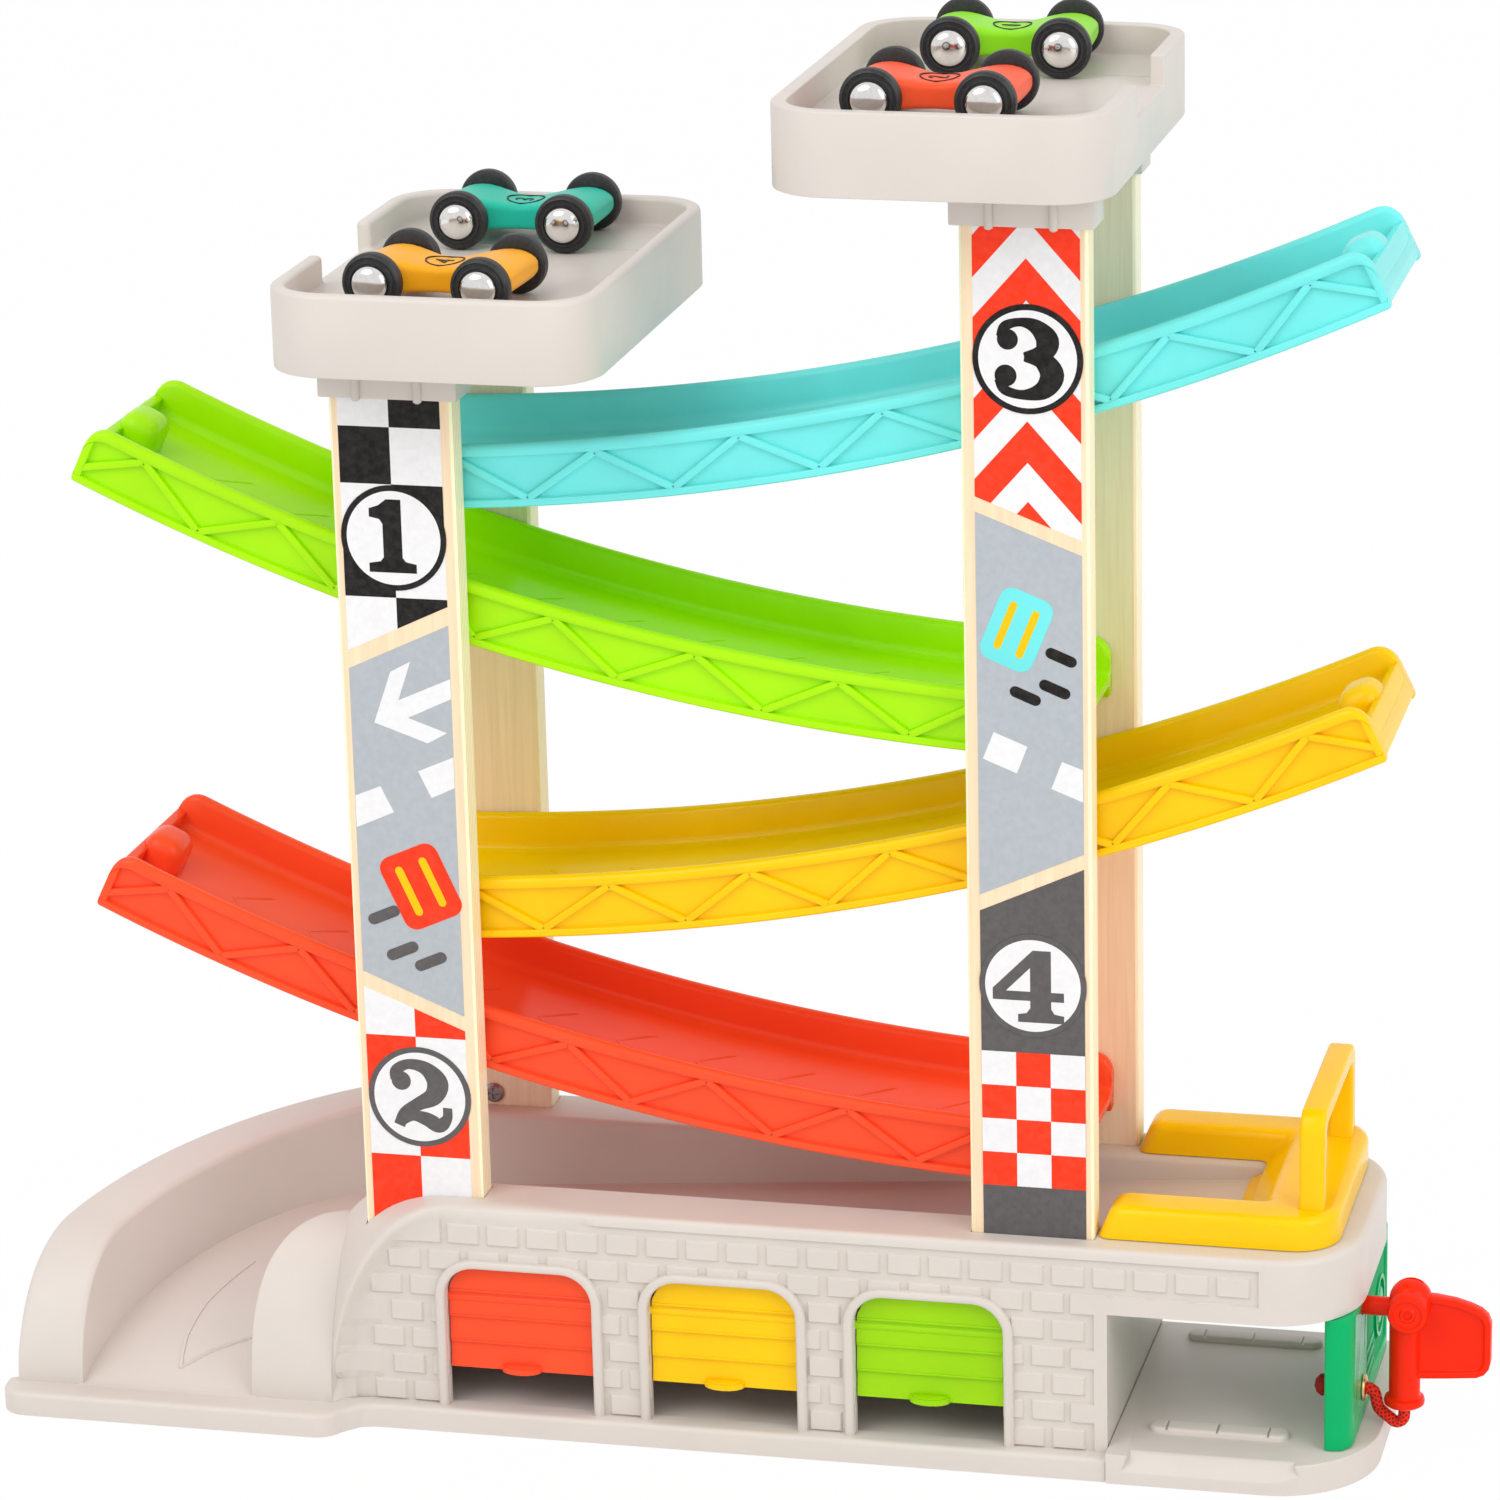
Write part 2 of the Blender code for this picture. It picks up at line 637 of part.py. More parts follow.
def open_doorways(housing):
    """The three doorways with the bands round them and the holes for the hinge pins."""
    opening = DOOR_WIDTH + 2 * RUN
    for k, x in enumerate(door_centres()):
        band = arch_outline(x, opening + 2 * FRAME_BAND, PLINTH_TOP - MM,
                            DOOR_TOP + RUN + FRAME_BAND, DOOR_CORNER + FRAME_BAND)
        add(housing, operand("band_%d" % k,
                             slab_y(band, BASE_FRONT - FRAME_PROUD, BASE_FRONT + MM)))
        way = arch_outline(x, opening, FLOOR_TOP + 2 * GAP, DOOR_TOP + RUN, DOOR_CORNER)
        cut(housing, operand("doorway_%d" % k,
                             slab_y(way, APRON_FRONT, BASE_FRONT + WALL + 0.2 * MM)))
        pins = rod(PIN_RADIUS + RUN,
                   (x - opening / 2 - PIN_LENGTH - GAP, DOOR_BACK - DOOR_THICK / 2, DOOR_AXIS),
                   (x + opening / 2 + PIN_LENGTH + GAP, DOOR_BACK - DOOR_THICK / 2, DOOR_AXIS), 12)
        cut(housing, operand("pin_holes_%d" % k, pins))


# Floors

def pockets(x0, x1, y0, y1, depth):
    """Hollows under a floor plate, between ribs."""
    pitch = POCKET_SIZE + POCKET_RIB
    columns = int((x1 - x0 + POCKET_RIB) / pitch)
    rows = int((y1 - y0 + POCKET_RIB) / pitch)
    shapes = []
    for i in range(columns):
        for j in range(rows):
            x = x0 + i * pitch
            y = y0 + j * pitch
            if abs(x + POCKET_SIZE / 2) < POCKET_SIZE and abs(y + POCKET_SIZE / 2) < POCKET_SIZE:
                continue
            shapes.append(box(x, x + POCKET_SIZE, y, y + POCKET_SIZE, -MM, depth))
    return together(shapes)


def make_base_floor():
    """The plate under the garages, which is their floor."""
    inset = WALL + GAP
    left = BEND_OUTER - inset
    outline = [(PIVOT_X, BASE_FRONT + inset), (GARAGE_RIGHT - inset, BASE_FRONT + inset),
               (GARAGE_RIGHT - inset, REAR_OUTER - inset)]
    outline += arc(PIVOT_X, PIVOT_Y, left, 90, 180 - FLOOR_START, 10)
    floor = finish("base_floor", prism(outline, 0, FLOOR_TOP), "shell")
    hollow = pockets(PIVOT_X + POCKET_RIB, GARAGE_RIGHT - inset - POCKET_RIB,
                     BASE_FRONT + inset + POCKET_RIB, REAR_OUTER - inset - POCKET_RIB,
                     POCKET_DEPTH)
    cut(floor, operand("floor_pockets", hollow))
    return floor


def make_station_floor():
    """The separate plate of the filling station, with a ramp and two kerbs."""
    left = GARAGE_RIGHT + GAP
    outline = rounded_box(left, STATION_RIGHT, STATION_FRONT, STATION_BACK,
                          (0, STATION_CORNER, STATION_CORNER / 2, 0), 7)
    floor = finish("station_floor", prism(outline, 0, STATION_TOP), "shell", 35)
    for k, y in enumerate((KERB_FRONT, KERB_BACK)):
        kerb = rounded_box(KERB_LEFT, KERB_RIGHT, y - KERB_WIDTH / 2, y + KERB_WIDTH / 2,
                           (KERB_WIDTH / 2 - 0.1 * MM,) * 4)
        add(floor, operand("kerb_%d" % k,
                           prism(kerb, STATION_TOP - MM, STATION_TOP + KERB_HEIGHT)))
    ramp = loft([[(x, STATION_FRONT - MM, STATION_TOP - RAMP_DROP),
                  (x, STATION_FRONT + RAMP_DEPTH, STATION_TOP + 0.01 * MM),
                  (x, STATION_FRONT - MM, STATION_TOP + MM)] for x in (RAMP_LEFT, RAMP_RIGHT)])
    cut(floor, operand("ramp", ramp))
    hollow = pockets(left + POCKET_RIB, STATION_RIGHT - POCKET_RIB,
                     STATION_FRONT + STATION_CORNER, STATION_BACK - POCKET_RIB,
                     STATION_TOP - 2 * MM - RAMP_DROP / 2)
    cut(floor, operand("station_pockets", hollow))
    return floor


# Guard and pump

def make_guard():
    """The yellow end stop on the roof, one moulding with its arch."""
    low = BASE_TOP + GAP
    high = low + GUARD_HEIGHT

    def outline(slope):
        left = GUARD_LEFT + slope
        inner = CHANNEL_END - GUARD_BAR + slope * 1.4
        points = [(left, -GUARD_OUTER)]
        points += arc(GUARD_RIGHT - GUARD_CORNER, -GUARD_OUTER + GUARD_CORNER,
                      GUARD_CORNER, -90, 0, 5)
        points += arc(GUARD_RIGHT - GUARD_CORNER, GUARD_OUTER - GUARD_CORNER,
                      GUARD_CORNER, 0, 90, 5)
        points += [(left, GUARD_OUTER), (left, GUARD_INNER), (inner, GUARD_INNER),
                   (inner, -GUARD_INNER), (left, -GUARD_INNER)]
        return points

    loops = [[(x, y, low) for x, y in outline(0)], [(x, y, high) for x, y in outline(GUARD_SLOPE)]]
    guard = finish("guard", loft(loops), "yellow", 40)
    soften(guard, GUARD_EDGE)
    span = ARCH_SPAN / 2
    sides = rounded_box(-span, span, high - MM, ARCH_TOP, (0, 0, ARCH_CORNER, ARCH_CORNER))
    gap = rounded_box(-span + ARCH_BAR, span - ARCH_BAR, high - 2 * MM, ARCH_TOP - ARCH_BAR,
                      (0, 0, ARCH_CORNER / 2, ARCH_CORNER / 2))
    near, far = ARCH_MIDDLE - ARCH_WIDTH / 2, ARCH_MIDDLE + ARCH_WIDTH / 2
    arch = operand("arch", loft([[(x, y, z) for y, z in sides] for x in (near, far)]))
    cut(arch, operand("arch_gap",
                      loft([[(x, y, z) for y, z in gap] for x in (near - MM, far + MM)])))
    add(guard, arch)
    wedge = ((WEDGE_START, channel_floor(WEDGE_START) + GAP),
             (CHANNEL_END - GAP, CHANNEL_HIGH + GAP), (CHANNEL_END - GAP, low + MM),
             (CHANNEL_END - GUARD_BAR + GUARD_SLOPE, low + MM))
    add(guard, operand("guard_wedge", slab_y(wedge, BLOCK_BACK + GAP, REAR_INNER - GAP)))
    return guard


def make_pump():
    """The green panel at the station's right side, with the nozzle's socket."""
    low = STATION_TOP + GAP
    high = ROOF_UNDER - GAP
    outline = rounded_box(PUMP_LEFT, PUMP_RIGHT, PUMP_FRONT, PUMP_BACK,
                          (1.0 * MM, PUMP_CORNER, PUMP_CORNER, 1.0 * MM))
    pump = finish("fuel_pump", prism(outline, low, high), "pump", 35)
    middle = (low + high) / 2
    field = box(PUMP_RIGHT - PUMP_RELIEF, PUMP_RIGHT + MM, NOZZLE_Y + 3 * STUB_RADIUS,
                PUMP_BACK - PUMP_CORNER - MM, low + PUMP_CORNER, high - PUMP_CORNER)
    cut(pump, operand("pump_field", field))
    gauge = rod(PUMP_CORNER, (PUMP_RIGHT - 2 * MM, PUMP_BACK / 2, middle),
                (PUMP_RIGHT, PUMP_BACK / 2, middle), 20)
    add(pump, operand("pump_gauge", gauge))
    socket = rod(STUB_RADIUS + RUN, (PUMP_RIGHT + MM, NOZZLE_Y, STUB_Z),
                 (PUMP_RIGHT - STUB_DEPTH - GAP, NOZZLE_Y, STUB_Z))
    cut(pump, operand("nozzle_socket", socket))
    hole = rod(ROPE_RADIUS + RUN, (PUMP_LEFT - MM, NOZZLE_Y, ROPE_HOLE_Z),
               (PUMP_RIGHT + MM, NOZZLE_Y, ROPE_HOLE_Z), 12)
    cut(pump, operand("rope_hole", hole))
    return pump


def make_eyelet():
    profile = ((ROPE_RADIUS + RUN, 0), (ROPE_RADIUS + RUN, EYELET_THICK),
               (EYELET_RADIUS - 0.4 * MM, EYELET_THICK), (EYELET_RADIUS, EYELET_THICK / 2),
               (EYELET_RADIUS, 0))
    eyelet = finish("rope_eyelet", turned(profile, 14), "brass", 40)
    eyelet.rotation_euler = (0, 0, -math.pi / 2)
    eyelet.location = (PUMP_RIGHT + GAP, NOZZLE_Y, ROPE_HOLE_Z)
    return eyelet


def make_nozzle():
    """The red nozzle: stub, head with cap, barrel, flange and paddle grip."""
    y = NOZZLE_Y
    nozzle = finish("nozzle", rod(STUB_RADIUS, (PUMP_RIGHT - STUB_DEPTH, y, STUB_Z),
                                  (HEAD_X, y, STUB_Z)), "nozzle", 40)
    head = bmesh.new()
    bmesh.ops.create_uvsphere(head, u_segments=16, v_segments=10, radius=HEAD_RADIUS,
                              matrix=Matrix.Translation((HEAD_X, y, HEAD_Z)))
    add(nozzle, operand("nozzle_head", head))
    low = HEAD_Z - CAP_DROP
    cap = rod(CAP_RADIUS, (HEAD_X, y, low), (HEAD_X, y - HEAD_RADIUS - CAP_PROUD, low), 18)
    add(nozzle, operand("nozzle_cap", cap))
    barrel = rod(BARREL_RADIUS, (NOZZLE_X, y, STUB_Z), (NOZZLE_X, y, BARREL_BOTTOM + MM), 18)
    add(nozzle, operand("nozzle_barrel", barrel))
    flange = rod(FLANGE_RADIUS, (NOZZLE_X, y, BARREL_BOTTOM + FLANGE_THICK),
                 (NOZZLE_X, y, BARREL_BOTTOM), 18)
    add(nozzle, operand("nozzle_flange", flange))
    outline = [(px * MM, pz * MM) for px, pz in PADDLE]
    paddle = slab_y(outline, y - PADDLE_THICK / 2, y + PADDLE_THICK / 2)
    add(nozzle, operand("nozzle_paddle", paddle))
    centre = Vector((sum(p[0] for p in outline), sum(p[1] for p in outline))) / len(outline)
    inner = []
    for px, pz in outline:
        away = Vector((px, pz)) - centre
        place = centre + away * (1 - 1.3 * PADDLE_RIM / away.length)
        inner.append((max(place.x, NOZZLE_X + BARREL_RADIUS + MM), place.y))
    for side in (-1, 1):
        face = y + side * PADDLE_THICK / 2
        field = slab_y(inner, face - side * PADDLE_RECESS, face + side * MM)
        cut(nozzle, operand("paddle_field_%d" % side, field))
    hole = rod(HEAD_HOLE, (HEAD_X, y, HEAD_Z + HEAD_RADIUS / 2),
               (HEAD_X, y, HEAD_Z + 2 * HEAD_RADIUS), 12)
    cut(nozzle, operand("head_hole", hole))
    return nozzle


def smooth_route(points, step):
    """Points at about one step apart on a Catmull-Rom curve through a route."""
    knots = [Vector(p) for p in points]
    knots = [2 * knots[0] - knots[1]] + knots + [2 * knots[-1] - knots[-2]]
    fine = []
    for a, b, c, d in zip(knots, knots[1:], knots[2:], knots[3:]):
        for k in range(20):
            t = k / 20
            fine.append(0.5 * (2 * b + (c - a) * t + (2 * a - 5 * b + 4 * c - d) * t ** 2
                               + (3 * b - a - 3 * c + d) * t ** 3))
    fine.append(knots[-2])
    length = sum((q - p).length for p, q in zip(fine, fine[1:]))
    count = max(4, round(length / step))
    kept = [fine[0]]
    walked = 0.0
    for p, q in zip(fine, fine[1:]):
        walked += (q - p).length
        if walked >= length * len(kept) / count and len(kept) < count:
            kept.append(q)
    kept.append(fine[-1])
    return kept


def rope_route():
    """From the knot behind the pump, through the hole and up into the nozzle's barrel."""
    y = NOZZLE_Y
    z = ROPE_HOLE_Z
    wall = PUMP_RIGHT
    foot = BARREL_BOTTOM - GAP
    middle = (wall + 4.4 * MM + NOZZLE_X) / 2
    return ((PUMP_LEFT - GAP, y, z), (wall, y, z), (wall + 1.6 * MM, y, z),
            (wall + 3.6 * MM, y, z - 1.1 * MM), (wall + 4.4 * MM, y, z - 3.9 * MM),
            (wall + 5.3 * MM, y, z - 6.7 * MM), (middle, y, foot - 4.8 * MM),
            (NOZZLE_X - 2.6 * MM, y, foot - 6.0 * MM), (NOZZLE_X - 0.6 * MM, y, foot - 5.2 * MM),
            (NOZZLE_X, y, foot - 3.4 * MM), (NOZZLE_X, y, foot))


def make_rope():
    """The nozzle's cord, a tube along its route."""
    route = smooth_route(rope_route(), ROPE_STEP)
    curve = bpy.data.curves.new("tether_rope", "CURVE")
    curve.dimensions = "3D"
    curve.bevel_depth = ROPE_RADIUS
    curve.bevel_resolution = 2
    curve.use_fill_caps = True
    spline = curve.splines.new("POLY")
    spline.points.add(len(route) - 1)
    for point, place in zip(spline.points, route):
        point.co = (*place, 1.0)
    rope = bpy.data.objects.new("tether_rope", curve)
    bpy.context.scene.collection.objects.link(rope)
    curve.materials.append(material("rope"))
    bm = bmesh.new()
    bmesh.ops.create_icosphere(bm, subdivisions=2, radius=KNOT_RADIUS,
                               matrix=Matrix.Diagonal((0.8, 1.0, 1.0, 1.0)))
    knot = finish("rope_knot", bm, "rope", 60)
    knot.location = (PUMP_LEFT - 2 * GAP - 0.8 * KNOT_RADIUS, NOZZLE_Y, ROPE_HOLE_Z)
    return rope, knot


# Doors

def make_door(name, colour, x):
    """A garage door with slats, a lifting tab and two hinge pins; its origin is on the hinge."""
    axis_y = DOOR_BACK - DOOR_THICK / 2
    half = DOOR_WIDTH / 2
    front = DOOR_BACK - DOOR_THICK
    pitch = (DOOR_TOP - DOOR_BOTTOM) / DOOR_SLATS
    profile = [(DOOR_BACK, DOOR_TOP), (DOOR_BACK, DOOR_BOTTOM)]
    for k in range(DOOR_SLATS):
        profile.append((front, DOOR_BOTTOM + k * pitch + (0.01 * MM if k else 0)))
        profile.append((front + DOOR_STEP, DOOR_BOTTOM + (k + 1) * pitch))
    points = [(y - axis_y, z - DOOR_AXIS) for y, z in profile]
    door = finish(name, loft([[(sx, y, z) for y, z in points] for sx in (-half, half)]),
                  colour, 30)
    shape = arch_outline(0, DOOR_WIDTH, DOOR_BOTTOM - DOOR_AXIS, DOOR_TOP - DOOR_AXIS, DOOR_CORNER)
    keep(door, place_at(operand(name + "_shape", slab_y(shape, -10 * MM, 10 * MM)),
                        (x, axis_y, DOOR_AXIS)))
    tab = [(-TAB_WIDTH / 2, MM)] + [(px, py * TAB_DEPTH / (TAB_WIDTH / 2)) for px, py in
                                    arc(0, 0, TAB_WIDTH / 2, 180, 360, 8)]
    tab += [(TAB_WIDTH / 2, MM)]
    tab = [(px, front - axis_y + py) for px, py in tab]
    bottom = DOOR_BOTTOM - DOOR_AXIS
    add(door, place_at(operand(name + "_tab", prism(tab, bottom, bottom + TAB_THICK)),
                       (x, axis_y, DOOR_AXIS)))
    pin = rod(PIN_RADIUS, (-half - RUN - PIN_LENGTH, 0, 0), (half + RUN + PIN_LENGTH, 0, 0), 12)
    add(door, place_at(operand(name + "_pins", pin), (x, axis_y, DOOR_AXIS)))
    door.location = (x, axis_y, DOOR_AXIS)
    return door


def place_at(obj, place):
    obj.location = place
    return obj


# Tower

def track_angle(x, radius):
    return math.degrees(math.asin(x / radius))


def track_levels():
    """Name, colour, side of the high end and lowest top edge of each track."""
    rows = (("track_red", "red", -1), ("track_yellow", "yellow", 1),
            ("track_green", "green", -1), ("track_teal", "teal", 1))
    return [(name, colour, side, TRACK_LOWEST + k * TRACK_PITCH)
            for k, (name, colour, side) in enumerate(rows)]


def track_point(side, low, angle, drop):
    """A point on a track at an angle from its lowest point, a depth below the top edge."""
    a = math.radians(angle)
    radius = TRACK_RADIUS + drop
    x = -TRACK_CENTRE + radius * math.sin(a)
    return side * x, low + TRACK_RADIUS - radius * math.cos(a)


def make_track(name, colour, side, low):
    """A curved channel with a stop wall and a bump at its high end, and pegs to the posts."""
    start = track_angle(TRACK_CENTRE - TRACK_END, TRACK_RADIUS)
    corner = math.degrees(TRACK_CORNER / TRACK_RADIUS)
    angles = [start + corner * share for share in (0, 0.1, 0.3, 0.6)]
    steps = 12
    inner_start, inner_end = start + corner, TRACK_RISE - corner
    angles += [inner_start + (inner_end - inner_start) * k / steps for k in range(steps + 1)]
    angles += [TRACK_RISE - corner * share for share in (0.6, 0.3, 0.1, 0)]
    half = TRACK_WIDTH / 2
    inner = half - TRACK_WALL
    loops = []
    for angle in angles:
        reach = min(angle - start, TRACK_RISE - angle) / corner
        dip = 0.0
        if reach < 1:
            dip = TRACK_CORNER * (1 - math.sqrt(max(0.0, 1 - (1 - reach) ** 2)))
        dip = min(dip, TRACK_TRAY - MM)
        levels = ((half, TRACK_HEIGHT), (half, dip), (inner, dip), (inner, TRACK_TRAY),
                  (-inner, TRACK_TRAY), (-inner, dip), (-half, dip), (-half, TRACK_HEIGHT),
                  (-inner, TRACK_HEIGHT), (-inner, TRACK_TRAY + TRACK_FLOOR),
                  (inner, TRACK_TRAY + TRACK_FLOOR), (inner, TRACK_HEIGHT))
        loop = []
        for y, drop in levels:
            x, z = track_point(side, low, angle, drop)
            loop.append((x, y, z))
        loops.append(loop)
    track = finish(name, loft(loops), colour, 30)

    outside = TRACK_RISE - math.degrees(GAP / TRACK_RADIUS)
    inside = outside - math.degrees(STOP_WALL / TRACK_RADIUS)
    outline = [track_point(side, low, outside, TRACK_TRAY + MM),
               track_point(side, low, outside, TRACK_CORNER),
               track_point(side, low, inside, TRACK_CORNER),
               track_point(side, low, inside, TRACK_TRAY + MM)]
    add(track, operand(name + "_stop", slab_y(outline, -inner - MM, inner + MM)))

    at = TRACK_RISE - math.degrees(BUMP_INSET / TRACK_RADIUS)
    foot = track_point(side, low, at, TRACK_TRAY + MM)
    tip = track_point(side, low, at, -BUMP_PROUD)
    up = Vector((tip[0] - foot[0], 0, tip[1] - foot[1]))
    height = up.length
    dome = 0.45 * BUMP_RADIUS
    rings = ((0, 0), (BUMP_RADIUS, 0), (BUMP_RADIUS, height - dome),
             (0.9 * BUMP_RADIUS, height - 0.45 * dome), (0.6 * BUMP_RADIUS, height - 0.1 * dome),
             (0, height))
    bump = turned_solid(rings, 14)
    turn = up.to_track_quat("Y", "Z").to_matrix().to_4x4()
    bump.transform(Matrix.Translation((foot[0], 0, foot[1])) @ turn)
    add(track, operand(name + "_bump", bump))

    for k, (x, z) in enumerate(peg_places(side, low)):
        reach = half + GAP + PEG_LENGTH - RUN
        pegs = together([rod(PEG_RADIUS, (x, sign * (half - MM), z), (x, sign * reach, z), 10)
                         for sign in (-1, 1)])
        add(track, operand(name + "_pegs_%d" % k, pegs))
    return track


def peg_places(side, low):
    """X and Z of the pegs, halfway up the track's side on each post's middle."""
    places = []
    for post in (-1, 1):
        x = post * POST_PITCH / 2
        middle = TRACK_RADIUS + TRACK_HEIGHT / 2
        offset = side * x + TRACK_CENTRE
        places.append((x, low + TRACK_RADIUS - math.sqrt(middle ** 2 - offset ** 2)))
    return places


def make_post(name, x, front, back):
    """A wooden board with peg holes and, at the rear, a screw hole."""
    rim = LEFT_RIM if x < 0 else RIGHT_RIM
    top = rim - DECK_TRAY - DECK_FLOOR - GAP
    edge = POST_EDGE
    left, right = x - POST_WIDTH / 2, x + POST_WIDTH / 2
    outline = ((left + edge, front), (right - edge, front), (right, front + edge),
               (right, back - edge), (right - edge, back), (left + edge, back),
               (left, back - edge), (left, front + edge))
    post = finish(name, prism(outline, POST_FOOT, top), "wood")
    inner = back if front < 0 else front
    into = -1 if front < 0 else 1
    for track, colour, side, low in track_levels():
        px, pz = peg_places(side, low)[0 if x < 0 else 1]
        hole = rod(PEG_RADIUS + GAP, (px, inner - into * MM, pz),
                   (px, inner + into * (PEG_LENGTH + GAP), pz), 10)
        cut(post, operand(name + "_hole_" + track, hole))
    if front > 0:
        hole = rod(SCREW_SHANK + GAP, (x, inner - MM, SCREW_Z),
                   (x, inner + SCREW_DEPTH + GAP, SCREW_Z), 10)
        cut(post, operand(name + "_screw_hole", hole))
    return post


def make_screw(name, x):
    """A cross-headed screw in a rear post."""
    face = POST_INNER - GAP
    profile = ((0, -SCREW_PROUD), (0.75 * SCREW_RADIUS, -SCREW_PROUD),
               (SCREW_RADIUS, -0.4 * SCREW_PROUD), (SCREW_RADIUS, 0), (SCREW_SHANK, 0),
               (SCREW_SHANK, SCREW_DEPTH), (0, SCREW_DEPTH))
    screw = finish(name, turned_solid(profile, 16), "screw", 40)
    screw.location = (x, face, SCREW_Z)
    reach = 0.6 * SCREW_RADIUS
    for k, (w, h) in enumerate(((reach, SCREW_SLOT / 2), (SCREW_SLOT / 2, reach))):
        slot = box(-w, w, -SCREW_PROUD - MM, -0.3 * SCREW_PROUD, -h, h)
        cut(screw, place_at(operand("%s_slot_%d" % (name, k), slot), screw.location))
    return screw


def make_deck(name, side, rim):
    """A tray on two posts, its outer side open between two wall ends."""
    middle = side * (POST_PITCH / 2 - DECK_SHIFT)
    x0, x1 = middle - DECK_WIDTH / 2, middle + DECK_WIDTH / 2
    half = DECK_DEPTH / 2
    low = rim - DECK_HEIGHT
    floor = rim - DECK_TRAY

    def outline(inset):
        return rounded_box(x0 + inset, x1 - inset, -half + inset, half - inset,
                           (DECK_CORNER - inset,) * 4, 4)

    deck = finish(name, prism(outline(0), low, rim), "shell", 35)
    soften(deck, DECK_EDGE)
    cut(deck, operand(name + "_tray", prism(outline(DECK_WALL), floor, rim + MM)))
    cut(deck, operand(name + "_under",
                      prism(outline(DECK_SKIRT), low - MM, floor - DECK_FLOOR)))
    outer = middle + side * DECK_WIDTH / 2
    gate = box(min(outer - side * 2 * DECK_WALL, outer + side * MM),
               max(outer - side * 2 * DECK_WALL, outer + side * MM),
               -DECK_GATE / 2, DECK_GATE / 2, floor, rim + MM)
    cut(deck, operand(name + "_gate", gate))
    for post, x, front, back in post_places():
        if x * side < 0:
            continue
        reach = COLLAR_WALL + GAP
        bottom = low - COLLAR_DROP
        collar = box(x - POST_WIDTH / 2 - reach, x + POST_WIDTH / 2 + reach, front - reach,
                     back + reach, bottom, floor - DECK_FLOOR / 2)
        add(deck, operand(name + "_collar_" + post, collar))
        if front < 0:
            for k, share in enumerate((-0.25, 0.25)):
                rib = x + share * POST_WIDTH
                shape = box(rib - COLLAR_RIB / 2, rib + COLLAR_RIB / 2,
                            front - reach - COLLAR_RIB, front, bottom, floor - DECK_FLOOR / 2)
                add(deck, operand("%s_rib_%s_%d" % (name, post, k), shape))
        slot = box(x - POST_WIDTH / 2 - GAP, x + POST_WIDTH / 2 + GAP, front - GAP, back + GAP,
                   bottom - MM, floor - DECK_FLOOR)
        cut(deck, operand(name + "_slot_" + post, slot))
    return deck


# Cars

def car_frame(name, side, dx, stand, inset, turn):
    """An empty on the deck under a car's middle, at the height of its axles."""
    rim = LEFT_RIM if side < 0 else RIGHT_RIM
    middle = side * (POST_PITCH / 2 - DECK_SHIFT)
    frame = bpy.data.objects.new("frame_" + name, None)
    bpy.context.scene.collection.objects.link(frame)
    frame.location = (middle + dx, stand * (DECK_DEPTH / 2 - inset),
                      rim - DECK_TRAY + GAP / 3 + WHEEL_RADIUS)
    frame.rotation_euler = (0, 0, math.radians(turn))
    return frame


def car_section(x):
    """Half width, belly and top of a car's body at a distance from its middle."""
    reach = abs(x) / (WHEELBASE / 2)
    ease = min(1.0, reach) ** 2 * (3 - 2 * min(1.0, reach))
    half = (CAR_WAIST + (CAR_WIDTH - CAR_WAIST) * ease) / 2
    top = CAR_SADDLE + (CAR_SHOULDER - CAR_SADDLE) * ease
    belly = -CAR_BELLY
    past = abs(x) - WHEELBASE / 2
    if past > 0:
        round_end = CAR_LENGTH / 2 - WHEELBASE / 2
        share = min(1.0, past / round_end)
        sink = 1 - math.sqrt(max(0.0, 1 - share ** 2))
        middle = (top + belly) / 2
        top = middle + (top - middle) * (1 - 0.75 * sink)
        belly = middle + (belly - middle) * (1 - 0.75 * sink)
        half -= 0.12 * half * sink
    return half, belly, top


def make_car(name, side, dx, stand, inset, turn):
    """A wooden car: waisted body, two axles with domed ends, four wheels."""
    frame = car_frame(name, side, dx, stand, inset, turn)
    stations = (-1, -0.95, -0.85, -0.68, -0.5, -0.34, -0.17, 0, 0.17, 0.34, 0.5, 0.68, 0.85, 0.95, 1)
    loops = []
    for share in stations:
        x = share * CAR_LENGTH / 2
        half, belly, top = car_section(x)
        c = min(CAR_CORNER, (top - belly) / 3)
        ring = ((-half, belly + c / 2), (-half + c / 2, belly), (half - c / 2, belly),
                (half, belly + c / 2), (half, top - c), (half - 0.3 * c, top - 0.3 * c),
                (half - c, top), (-half + c, top), (-half + 0.3 * c, top - 0.3 * c),
                (-half, top - c))
        loops.append([(x, y, z) for y, z in ring])
    body = finish("car_%s_body" % name, loft(loops), "car_" + name, 50)
    body.parent = frame
    for end, sign in (("front", 1), ("rear", -1)):
        x = sign * WHEELBASE / 2
        bore = operand("bore_%s_%s" % (name, end),
                       rod(AXLE_RADIUS + RUN, (x, -CAR_WIDTH, 0), (x, CAR_WIDTH, 0), 12))
        bore.parent = frame
        cut(body, bore)
        make_axle(name, end, x, frame)


